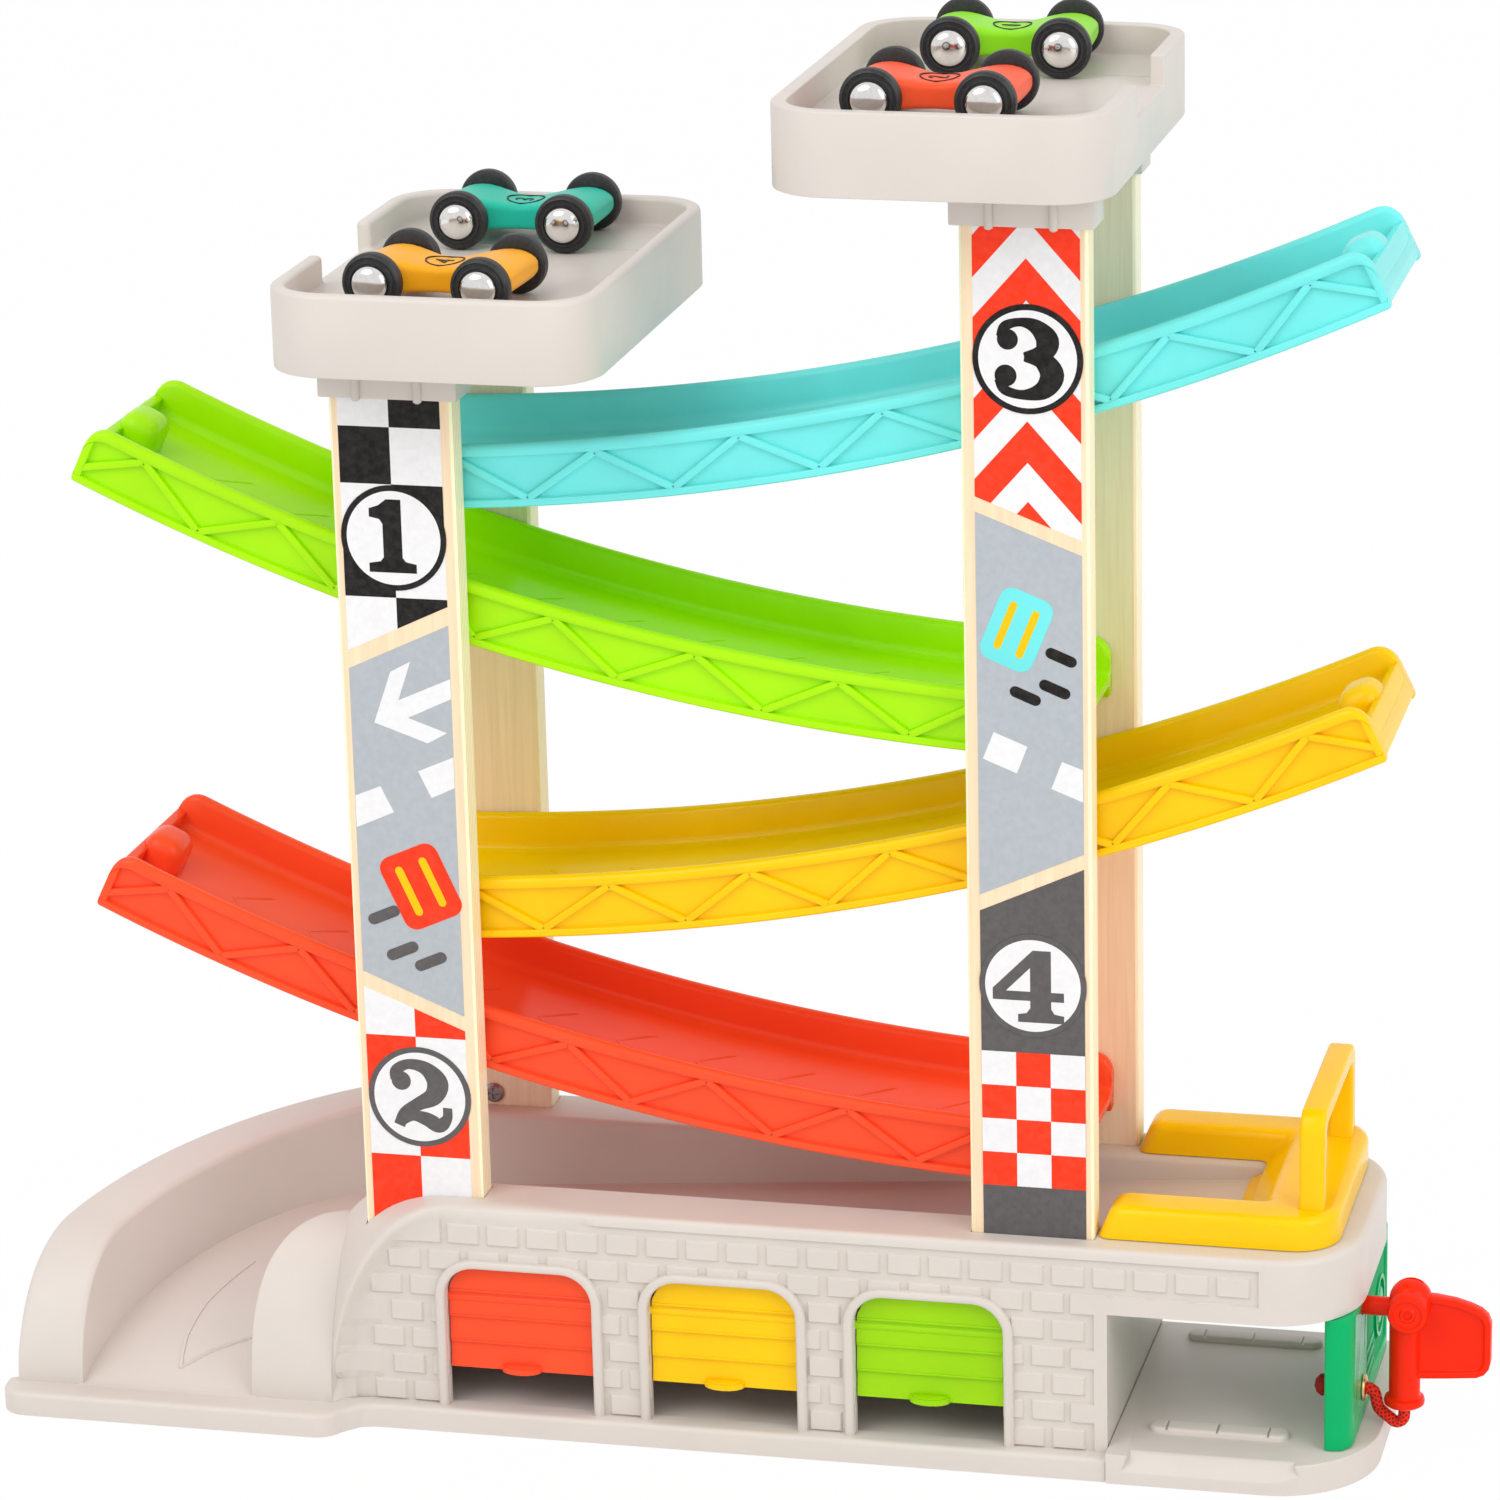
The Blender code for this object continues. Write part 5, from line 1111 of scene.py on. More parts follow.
class TOYGARAGE_OT_nozzle(GarageOperator, bpy.types.Operator):
    """Make the nozzle with its ball head, cap, barrel, flange and rimmed grip"""

    bl_idname = "toygarage.nozzle"
    bl_label = "Nozzle"

    def make(self, sizes):
        y = ROPE_Y
        hand = lathed([(0, 0), (3.0 * MM, 0), (3.0 * MM, 22 * MM), (0, 22 * MM)], 28,
                      (190.2 * MM, y, 49.4 * MM), (1, 0, 0))
        rounded(hand, 0.4 * MM, 2)
        ball = bmesh.new()
        bmesh.ops.create_uvsphere(ball, u_segments=36, v_segments=24, radius=6.7 * MM,
                                  matrix=Matrix.Translation((212 * MM, y, 52.4 * MM)))
        slot = block((7.4 * MM, 2.4 * MM, 5 * MM), (212 * MM, y + 1.2 * MM, 59.6 * MM))
        join(hand, subtract(ball, [slot]))
        cap = [(0, 0), (6.4, 0), (6.4, 7.9), (5.9, 8.7), (4.6, 8.9), (4.3, 8.4), (2.6, 8.4),
               (2.2, 8.8), (1.5, 8.8), (1.2, 8.0), (0, 8.0)]
        barrel = [(0, 0), (5.6, 0), (6.3, 0.6), (6.4, 1.6), (6.1, 2.6), (5.2, 3.1), (4.9, 4.0),
                  (4.9, 33), (0, 33)]
        for profile, steps, x, z, axis in ((cap, 40, 212 * MM, 50.4 * MM, (0, -1, 0)),
                                           (barrel, 36, 210.3 * MM, 17.0 * MM, (0, 0, 1))):
            join(hand, lathed([(r * MM, h * MM) for r, h in profile], steps, (x, y, z), axis))
        self.grip(hand, y)
        piece("nozzle_hand", hand, ["nozzle"], "nozzle", ["nozzle"], 38.0)

    def grip(self, hand, y):
        """The flat grip, a rimmed plate with rounded corners."""
        outline = [(211.5, 54.4), (219.8, 54.3), (226.2, 53.4), (231.0, 52.0), (234.2, 50.6),
                   (236.2, 48.8), (237.2, 46.2), (237.2, 40.0), (237.2, 33.6), (236.7, 31.2),
                   (235.2, 29.2), (232.8, 28.1), (223.0, 27.2), (211.5, 26.3)]
        points = [(x * MM, y - 2.2 * MM, z * MM) for x, z in outline]
        plate = solid(points, (0, 4.4 * MM, 0))
        for face in [f for f in plate.faces if len(f.verts) == len(outline)]:
            bmesh.ops.inset_region(plate, faces=[face], thickness=2.0 * MM, use_even_offset=True)
            push = face.normal * -1.2 * MM
            bmesh.ops.inset_region(plate, faces=[face], thickness=0.3 * MM, use_even_offset=True)
            bmesh.ops.translate(plate, verts=face.verts, vec=push)
        rounded(plate, 0.5 * MM, 2, 60.0)
        join(hand, plate)


class TOYGARAGE_OT_rope(GarageOperator, bpy.types.Operator):
    """Lay the braided rope from the pump to the nozzle"""

    bl_idname = "toygarage.rope"
    bl_label = "Rope"

    def make(self, sizes):
        line = self.route()
        curve = bpy.data.curves.new("rope_line", "CURVE")
        curve.dimensions = "3D"
        curve.bevel_depth = 1.9 * MM
        curve.bevel_resolution = 6
        curve.use_fill_caps = True
        spline = curve.splines.new("POLY")
        spline.points.add(len(line) - 1)
        for point, place in zip(spline.points, line):
            point.co = (*place, 1.0)
        shape = bpy.data.objects.new("rope_line", curve)
        bpy.context.scene.collection.objects.link(shape)
        bpy.context.view_layer.update()
        mesh = bpy.data.meshes.new_from_object(
            shape.evaluated_get(bpy.context.evaluated_depsgraph_get()))
        bpy.data.objects.remove(shape)
        bpy.data.curves.remove(curve)
        mesh.name = "tether_cord"
        mesh.materials.clear()
        mesh.materials.append(finish_for("rope"))
        mesh.shade_smooth()
        rope = bpy.data.objects.new("tether_cord", mesh)
        bpy.context.scene.collection.objects.link(rope)
        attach(rope, "garage")
        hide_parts("tether_rope")

    def route(self):
        """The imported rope's route, a smooth curve through its points."""
        points = ((188.1, 21.5), (197.2, 21.5), (198.8, 21.5), (200.8, 20.4), (201.6, 17.6),
                  (202.5, 14.8), (205.95, 11.9), (207.7, 10.7), (209.7, 11.5), (210.3, 13.3),
                  (210.3, 16.7))
        knots = [Vector((x * MM, ROPE_Y, z * MM)) for x, z in points]
        knots = [2 * knots[0] - knots[1]] + knots + [2 * knots[-1] - knots[-2]]
        fine = []
        for a, b, c, d in zip(knots, knots[1:], knots[2:], knots[3:]):
            for k in range(20):
                t = k / 20
                fine.append(0.5 * (2 * b + (c - a) * t + (2 * a - 5 * b + 4 * c - d) * t ** 2
                                   + (3 * b - a - 3 * c + d) * t ** 3))
        fine.append(knots[-2])
        length = sum((q - p).length for p, q in zip(fine, fine[1:]))
        count = round(length / (0.8 * MM))
        kept, walked = [fine[0]], 0.0
        for p, q in zip(fine, fine[1:]):
            walked += (q - p).length
            if walked >= length * len(kept) / count and len(kept) < count:
                kept.append(q)
        return kept + [fine[-1]]


# Tracks

class TOYGARAGE_OT_tracks(GarageOperator, bpy.types.Operator):
    """Make the four curved tracks with beads, ribbed sides, stop and bump"""

    bl_idname = "toygarage.tracks"
    bl_label = "Tracks"

    def make(self, sizes):
        for k, (colour, side) in enumerate(TRACKS):
            low = TRACK_LOWEST + k * TRACK_PITCH
            track = self.channel(low, sizes)
            self.ends(track, low)
            self.ribs(track, low, sizes)
            self.marks(track, low)
            if side < 0:
                bmesh.ops.scale(track, verts=track.verts, vec=(-1, 1, 1))
                bmesh.ops.reverse_faces(track, faces=track.faces)
            piece("track_way_" + colour, track, [colour], "garage", ["track_" + colour],
                  38.0)

    def place(self, low, angle, drop, y=0.0):
        """A point of a track by its angle along the curve and its drop below the curve."""
        a = math.radians(angle)
        r = TRACK_RADIUS + drop
        return Vector((-TRACK_CENTRE + r * math.sin(a), y, low + TRACK_RADIUS - r * math.cos(a)))

    def channel(self, low, sizes):
        """The channel with its high walls, sunk side fields and rounded ends."""
        length = math.radians(TRACK_RISE - TRACK_START) * TRACK_RADIUS
        close = [0.0, 0.2, 0.6, 1.2, 1.8, 2.3, 2.5, 2.7, 3.3, 4.2, 5.2, 6.2]
        count = 200
        ways = [d * MM for d in close]
        ways += [6.2 * MM + (length - 12.4 * MM) * k / count for k in range(1, count)]
        ways += [length - d * MM for d in reversed(close)]
        return skin([self.section(low, way, length, sizes) for way in ways])

    def section(self, low, way, length, sizes):
        """The channel's section at a distance along it."""
        angle = TRACK_START + math.degrees(way / TRACK_RADIUS)
        past = min(way, length - way)
        reach = min(1.0, past / TRACK_CORNER)
        dip = TRACK_CORNER * (1 - math.sqrt(max(0.0, 1 - (1 - reach) ** 2)))
        rim, inner = TRACK_HALF, 29.6 * MM
        deep = rim - sizes.side_recess * smooth((past - 2.2 * MM) / (0.5 * MM))
        toe = TRACK_TOE * (1 - math.sqrt(1 - (1 - min(1.0, past / TRACK_TOE)) ** 2))
        half = [(0, 9.9), (23.5, 9.9), (24.0, 9.6), (27.0, 9.5), (28.4, 8.9), (29.2, 7.7)]
        half = [(y * MM, d * MM) for y, d in half]
        half += [(inner, 6.2 * MM), (inner, -0.9 * MM), (inner + 0.5 * MM, -2.1 * MM),
                 (inner + 1.4 * MM, -2.75 * MM), (inner + 2.3 * MM, -2.9 * MM),
                 (rim - 1.2 * MM, -2.65 * MM), (rim - 0.35 * MM, -2.0 * MM), (rim, -1.0 * MM),
                 (rim, 0.3 * MM), (rim - 0.3 * MM, 0.75 * MM), (deep, 1.0 * MM),
                 (deep, 14.2 * MM), (rim - 0.3 * MM, 14.45 * MM), (rim, 14.9 * MM),
                 (rim, 16.3 * MM), (rim - 0.5 * MM, 16.8 * MM), (inner + 1.5 * MM, 16.8 * MM),
                 (inner, 12.5 * MM), (0, 12.5 * MM)]
        points = []
        for y, drop in half + [(-y, drop) for y, drop in reversed(half[1:-1])]:
            if drop > 14 * MM:
                drop -= toe
            if drop < 9.5 * MM:
                drop = dip + drop * (9.5 * MM - dip) / (9.5 * MM) if drop > 0 else drop + dip
            points.append(self.place(low, angle, drop, y))
        return points

    def ends(self, track, low):
        """The wall that closes the high end, and the rounded bump by it."""
        half = TRACK_HALF - 2.5 * MM
        wall = solid([self.place(low, angle, drop * MM, -half) for angle, drop in
                      ((TRACK_RISE - 0.004, 15.8), (TRACK_RISE - 0.004, 4.0),
                       (TRACK_RISE - 0.24, 4.0), (TRACK_RISE - 0.24, 15.8))], (0, 2 * half, 0))
        rounded(wall, 0.5 * MM, 3, 60.0, lambda e: abs(e.verts[0].co.y - e.verts[1].co.y) > half)
        join(track, wall)
        at = TRACK_RISE - math.degrees(7.6 * MM / TRACK_RADIUS)
        turn = Matrix.Rotation(-math.radians(at), 4, "Y")
        bump = block((13.5 * MM, 17 * MM, 16 * MM), self.place(low, at, 6.6 * MM), turn)
        rounded(bump, 5.2 * MM, 6, 60.0)
        join(track, bump)

    def ribs(self, track, low, sizes):
        """The zigzag of ribs on both sides."""
        pitch, high, deep = 3.47, 0.9, 14.4
        knots = [(TRACK_START + 0.9, deep)]
        for k in range(7):
            knots += [(3.2 + k * pitch, high), (4.93 + k * pitch, deep)]
        knots = [knot for knot in knots if knot[0] < TRACK_RISE - 0.6] + [(TRACK_RISE - 0.12, 11.8)]
        depth = sizes.side_recess + 0.5 * MM
        for y in (-1, 1):
            middle = y * (TRACK_HALF - depth / 2 - 0.15 * MM)
            for (a, d), (b, e) in zip(knots, knots[1:]):
                p, q = self.place(low, a, d * MM, middle), self.place(low, b, e * MM, middle)
                turn = (q - p).to_track_quat("X", "Y").to_matrix().to_4x4()
                rib = block(((q - p).length + 0.8 * MM, depth, sizes.rib_width), (p + q) / 2, turn)
                rounded(rib, 0.5 * MM, 2, 60.0)
                join(track, rib)

    def marks(self, track, low):
        """Shallow chevrons along the running surface."""
        for k in range(11):
            angle = 3.0 + 2.0 * k
            lift = self.place(low, angle, 9.8 * MM) - self.place(low, angle, 10 * MM)
            for lean in (-1, 1):
                arm = [self.place(low, angle - back, 10 * MM, lean * y * MM)
                       for back, y in ((0, 0), (0.1, 0), (0.85, 11), (0.75, 11))]
                join(track, solid(arm, lift))


# Posts and their prints

INKS = ["print_white", "print_black", "print_red", "print_grey", "print_dark", "yellow", "teal"]
WHITE, BLACK, RED, GREY, DARK, YELLOW, TEAL = range(7)


class Sticker:
    """A printed strip on a post: flat shapes in thin layers on its front face."""

    def __init__(self, middle, width):
        self.bm = bmesh.new()
        self.laid = 0
        self.left, self.right = middle - width / 2, middle + width / 2
        self.middle = middle

    def lay(self, points, layer, colour, cuts=()):
        """One flat shape from (x, z) points, cut along lines given by two points each."""
        self.laid += 1
        depth = (0.08 + 0.03 * layer + 0.004 * self.laid) * MM
        flat = solid(upright(points, POST_FACE), (0, -depth, 0))
        for (ax, az), (bx, bz), keep in cuts:
            normal = Vector((az - bz, 0, bx - ax)) * (-keep)
            bmesh.ops.bisect_plane(flat, geom=flat.verts[:] + flat.edges[:] + flat.faces[:],
                                   plane_co=(ax, 0, az), plane_no=normal, clear_outer=True)
            bmesh.ops.holes_fill(flat, edges=[e for e in flat.edges if e.is_boundary], sides=0)
        if flat.faces:
            join(self.bm, flat, colour)
        else:
            flat.free()

    def rectangle(self, x0, x1, z0, z1, layer, colour, cuts=()):
        """An upright rectangle."""
        self.lay([(x0, z0), (x1, z0), (x1, z1), (x0, z1)], layer, colour, cuts)

    def disc(self, x, z, radius, ring, colour):
        """A white disc in a ring."""
        self.lay(arc(x, z, radius, 0, 354, 59), 4, colour)
        self.lay(arc(x, z, radius - ring, 0, 354, 59), 5, WHITE)

    def stroke(self, points, layer, colour):
        """A brush line of changing width through (x, z, width) points."""
        knots = [Vector(p) for p in points]
        knots = [2 * knots[0] - knots[1]] + knots + [2 * knots[-1] - knots[-2]]
        line = []
        for a, b, c, d in zip(knots, knots[1:], knots[2:], knots[3:]):
            for k in range(6):
                t = k / 6
                line.append(0.5 * (2 * b + (c - a) * t + (2 * a - 5 * b + 4 * c - d) * t ** 2
                                   + (3 * b - a - 3 * c + d) * t ** 3))
        line.append(knots[-2])
        sides = ([], [])
        for k, p in enumerate(line):
            before, after = line[max(0, k - 1)], line[min(len(line) - 1, k + 1)]
            along = Vector((after.x - before.x, after.y - before.y)).normalized()
            across = Vector((-along.y, along.x)) * p.z / 2
            sides[0].append((p.x + across.x, p.y + across.y))
            sides[1].append((p.x - across.x, p.y - across.y))
        self.lay(sides[0] + sides[1][::-1], layer, colour)

    def pill(self, x, z, length, width, lean, layer, colour):
        """A bar with round ends."""
        half = length / 2 - width / 2
        c, s = math.cos(math.radians(lean)), math.sin(math.radians(lean))
        ends = (arc(half, 0, width / 2, -90, 90, 8) + arc(-half, 0, width / 2, 90, 270, 8))
        self.lay([(x + px * c - pz * s, z + px * s + pz * c) for px, pz in ends], layer, colour)

    def plate(self, x, z, width, height, corner, lean, layer, colour):
        """A leaning rectangle with round corners."""
        c, s = math.cos(math.radians(lean)), math.sin(math.radians(lean))
        shape = rounded_corners(-width / 2, width / 2, -height / 2, height / 2, corner)
        self.lay([(x + px * c - pz * s, z + px * s + pz * c) for px, pz in shape], layer, colour)

    def digit(self, figure, x, z, unit, colour):
        """A number on a disc; the shapes are in shares of the disc's radius."""
        for kind, points in DIGITS[figure]:
            if kind == "line":
                self.stroke([(x + px * unit, z + pz * unit, w * unit) for px, pz, w in points],
                            6, colour)
            elif kind == "ball":
                for px, pz, r in points:
                    self.lay(arc(x + px * unit, z + pz * unit, r * unit, 0, 345, 23), 6, colour)
            else:
                self.lay([(x + px * unit, z + pz * unit) for px, pz in points],
                         7 if kind == "hole" else 6, WHITE if kind == "hole" else colour)


# Plain figures with heavy strokes, in shares of their disc's radius
DIGITS = {
    1: (("area", ((-0.45, 0.54), (-0.27, 0.60), (-0.12, 0.72), (0.16, 0.72), (0.16, -0.38),
                  (0.22, -0.46), (0.42, -0.50), (0.42, -0.67), (-0.48, -0.67), (-0.48, -0.50),
                  (-0.26, -0.46), (-0.20, -0.38), (-0.20, 0.25), (-0.26, 0.34), (-0.45, 0.38))),),
    2: (("ball", ((-0.35, 0.30, 0.19),)),
        ("line", ((-0.48, 0.30, 0.16), (-0.44, 0.50, 0.22), (-0.20, 0.64, 0.20),
                  (0.14, 0.57, 0.28), (0.36, 0.30, 0.42), (0.27, 0.02, 0.36), (-0.02, -0.15, 0.26),
                  (-0.30, -0.34, 0.22), (-0.42, -0.60, 0.22))),
        ("line", ((-0.36, -0.52, 0.16), (-0.14, -0.40, 0.20), (0.12, -0.45, 0.28),
                  (0.36, -0.56, 0.30), (0.52, -0.42, 0.20), (0.54, -0.20, 0.18)))),
    3: (("ball", ((-0.36, 0.34, 0.19), (-0.40, -0.32, 0.20))),
        ("line", ((-0.50, 0.38, 0.14), (-0.40, 0.58, 0.18), (-0.12, 0.66, 0.16),
                  (0.16, 0.58, 0.28), (0.36, 0.34, 0.42), (0.26, 0.10, 0.34), (-0.06, 0.02, 0.18))),
        ("line", ((-0.06, 0.04, 0.18), (0.26, -0.02, 0.34), (0.44, -0.28, 0.44),
                  (0.28, -0.56, 0.34), (-0.08, -0.66, 0.18), (-0.42, -0.58, 0.18),
                  (-0.54, -0.38, 0.14)))),
    4: (("area", ((0.0, 0.70), (0.34, 0.70), (0.34, -0.10), (0.58, -0.10), (0.58, -0.28),
                  (0.34, -0.28), (0.34, -0.42), (0.40, -0.52), (0.58, -0.55), (0.58, -0.70),
                  (-0.28, -0.70), (-0.28, -0.55), (-0.12, -0.52), (-0.05, -0.42),
                  (-0.05, -0.28), (-0.75, -0.28), (-0.75, -0.06))),
        ("hole", ((-0.05, 0.36), (-0.05, -0.10), (-0.50, -0.10)))),
}


class TOYGARAGE_OT_posts(GarageOperator, bpy.types.Operator):
    """Give the boards their wood, the screws their metal and the posts their prints"""

    bl_idname = "toygarage.posts"
    bl_label = "Posts and prints"

    def make(self, sizes):
        for end in ("front", "rear"):
            for side in ("left", "right"):
                # The rear posts get the wood painted lighter: painted light for the decks' shade
                repaint("post_%s_%s" % (end, side), "wood" if end == "front" else "wood_rear")
        repaint("screw_left", "screw")
        repaint("screw_right", "screw")
        self.left(sizes)
        self.right(sizes)

    def left(self, sizes):
        """Checks, numbers 1 and 2 and a road on the left post."""
        strip = Sticker(-98.05 * MM, sizes.sticker_width)
        x0, x1, xm = strip.left, strip.right, strip.middle
        top, low = LEFT_RIM - 38.5 * MM, 55 * MM
        upper = ((x0, 253.4 * MM), (x1, 268.6 * MM), 1)
        grey_top = ((x0, 247.6 * MM), (x1, 262.7 * MM), -1)
        grey_low = ((x0, 149.2 * MM), (x1, 135.9 * MM), 1)
        lower = ((x0, 144.1 * MM), (x1, 131.0 * MM), -1)
        strip.rectangle(x0, x1, 250 * MM, top, 0, WHITE, [upper])
        pitch = 17.85 * MM
        for row in range(5):
            z1, z0 = 342.2 * MM - row * pitch, 342.2 * MM - (row + 1) * pitch
            a, b = (xm, x1) if row % 2 == 0 else (x0, xm)
            strip.rectangle(a, b, z0, min(z1, top), 1, BLACK, [upper])
        strip.rectangle(x0, x1, 130 * MM, 265 * MM, 0, GREY, [grey_top, grey_low])
        strip.rectangle(x0, x1, low, 146 * MM, 0, WHITE, [lower])
        for a, b, z0, z1 in ((xm, x1, 128.2, 146), (x0, xm, 108.3, 128.2), (xm, x1, 88.3, 108.3),
                             (x0, xm, 55.0, 88.3)):
            strip.rectangle(a, b, max(z0 * MM, low), z1 * MM, 1, RED, [lower])
        for points in (((-106.8, 230.6), (-101.0, 247.1), (-94.5, 250.7), (-98.8, 238.1),
                        (-82.0, 245.7), (-82.0, 239.3), (-96.0, 232.6), (-83.7, 228.3),
                        (-90.0, 224.7)),
                       ((-93.5, 215.5), (-82.0, 220.6), (-82.0, 210.7), (-89.5, 207.1)),
                       ((-114.0, 206.6), (-105.8, 210.1), (-101.8, 201.8), (-114.0, 196.3))):
            strip.lay([(x * MM, z * MM) for x, z in points], 1, WHITE)
        strip.plate(-94.2 * MM, 178 * MM, 20 * MM, 25 * MM, 4 * MM, 24, 2, RED)
        for shift in (-4.2, 4.2):
            strip.pill((-94.2 + shift * 0.91) * MM, (178 + shift * 0.41) * MM, 17 * MM, 2.6 * MM,
                       114, 3, YELLOW)
        for x, z in ((-106.5, 168), (-101.0, 156.5), (-92.0, 153.5)):
            strip.pill(x * MM, z * MM, 11 * MM, 3.6 * MM, 24, 2, DARK)
        strip.disc(-98.0 * MM, 289.7 * MM, sizes.disc_radius, sizes.disc_ring, BLACK)
        strip.digit(1, -98.0 * MM, 289.9 * MM, sizes.disc_radius, BLACK)
        strip.disc(-97.5 * MM, 108.2 * MM, sizes.disc_radius, sizes.disc_ring, DARK)
        strip.digit(2, -97.5 * MM, 108.4 * MM, sizes.disc_radius, DARK)
        piece("print_left", strip.bm, INKS, "garage")

    def right(self, sizes):
        """Chevrons, numbers 3 and 4, a road and checks on the right post."""
        strip = Sticker(98.4 * MM, sizes.sticker_width)
        x0, x1, xm = strip.left, strip.right, strip.middle
        top, low = RIGHT_RIM - 38.5 * MM, BASE_TOP
        upper = ((x0, 310.7 * MM), (x1, 298.3 * MM), 1)
        grey_top = ((x0, 306.0 * MM), (x1, 293.7 * MM), -1)
        grey_low = ((x0, 185.8 * MM), (x1, 200.3 * MM), 1)
        lower = ((x0, 180.7 * MM), (x1, 195.5 * MM), -1)
        strip.rectangle(x0, x1, 290 * MM, top, 0, WHITE, [upper])
        half = sizes.sticker_width / 2
        fall = 18.2 * MM
        for k in range(5):
            apex = (407.9 - 24.55 * k) * MM
            band = [(x0, apex - fall), (xm, apex), (x1, apex - fall), (x1, apex - fall - 12.6 * MM),
                    (xm, apex - 12.6 * MM), (x0, apex - fall - 12.6 * MM)]
            ceiling = ((x0, top), (x1, top), -1)
            strip.lay(band[:2] + band[4:], 1, RED, [upper, ceiling])
            strip.lay(band[1:5], 1, RED, [upper, ceiling])
        strip.rectangle(x0, x1, 180 * MM, 310 * MM, 0, GREY, [grey_top, grey_low])
        strip.rectangle(x0, x1, low, 198 * MM, 0, DARK, [lower])
        for points in (((87.2, 237.7), (97.5, 233.6), (94.2, 225.0), (83.8, 229.2)),
                       ((108.0, 229.4), (114.4, 227.1), (114.4, 216.9), (104.7, 220.7))):
            strip.lay([(x * MM, z * MM) for x, z in points], 1, WHITE)
        strip.plate(94.5 * MM, 270 * MM, 17 * MM, 24 * MM, 4 * MM, -22, 2, TEAL)
        for shift in (-3.6, 3.6):
            strip.pill((94.5 + shift * 0.93) * MM, (270 - shift * 0.37) * MM, 16 * MM, 2.4 * MM,
                       68, 3, YELLOW)
        for x, z in ((108.0, 262), (106.0, 252), (97.0, 249.5)):
            strip.pill(x * MM, z * MM, 10 * MM, 3.4 * MM, -22, 2, BLACK)
        cell = sizes.sticker_width / 3
        for row in range(4):
            for column in range(3):
                colour = RED if (row + column) % 2 == 0 else WHITE
                strip.rectangle(x0 + column * cell, x0 + (column + 1) * cell,
                                (91.5 + 11.0 * row) * MM, (102.5 + 11.0 * row) * MM, 1, colour)
        strip.disc(98.7 * MM, 353.1 * MM, sizes.disc_radius, sizes.disc_ring, BLACK)
        strip.digit(3, 98.7 * MM, 353.3 * MM, sizes.disc_radius, BLACK)
        strip.disc(98.5 * MM, 157.4 * MM, sizes.disc_radius, sizes.disc_ring, DARK)
        strip.digit(4, 98.5 * MM, 157.2 * MM, sizes.disc_radius, DARK)
        piece("print_right", strip.bm, INKS, "garage")


def repaint(name, finish):
    """Give a carried-over node its finish."""
    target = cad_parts.get(name)
    if target is None:
        raise RuntimeError("the packed model has no node " + name)
    target.data.materials.clear()
    target.data.materials.append(finish_for(finish))


# Doors

class TOYGARAGE_OT_doors(GarageOperator, bpy.types.Operator):
    """Finish the garage doors and add the lips under their slats"""

    bl_idname = "toygarage.doors"
    bl_label = "Garage doors"

    def make(self, sizes):
        for colour, x in DOORS:
            finish = "green_door" if colour == "green" else colour
            repaint("door_" + colour, finish)
            lips = bmesh.new()
            for k in range(1, 4):
                z = (20.0 + k * 8.625) * MM
                lip = block((45.8 * MM, 0.9 * MM, 0.8 * MM), (x, -50.25 * MM, z + 0.35 * MM))
                rounded(lip, 0.25 * MM, 2)
                join(lips, lip)
            tab = solid([(px, py, 21.7 * MM) for px, py in
                         [(x + 5.6 * MM, -50.6 * MM)] + [
                             (x + 5.6 * MM * math.cos(t), -50.9 * MM - 3.0 * MM * math.sin(t))
                             for t in (0.0, 0.5, 1.0, 1.57, 2.14, 2.64, 3.14)]
                         + [(x - 5.6 * MM, -50.6 * MM)]], (0, 0, 0.5 * MM))
            rounded(tab, 0.2 * MM, 2)
            join(lips, tab)
            piece("door_lips_" + colour, lips, [finish], "door_" + colour)


# Cars

AXLE_REACH, SADDLE_TOP = 17 * MM, 3.4 * MM


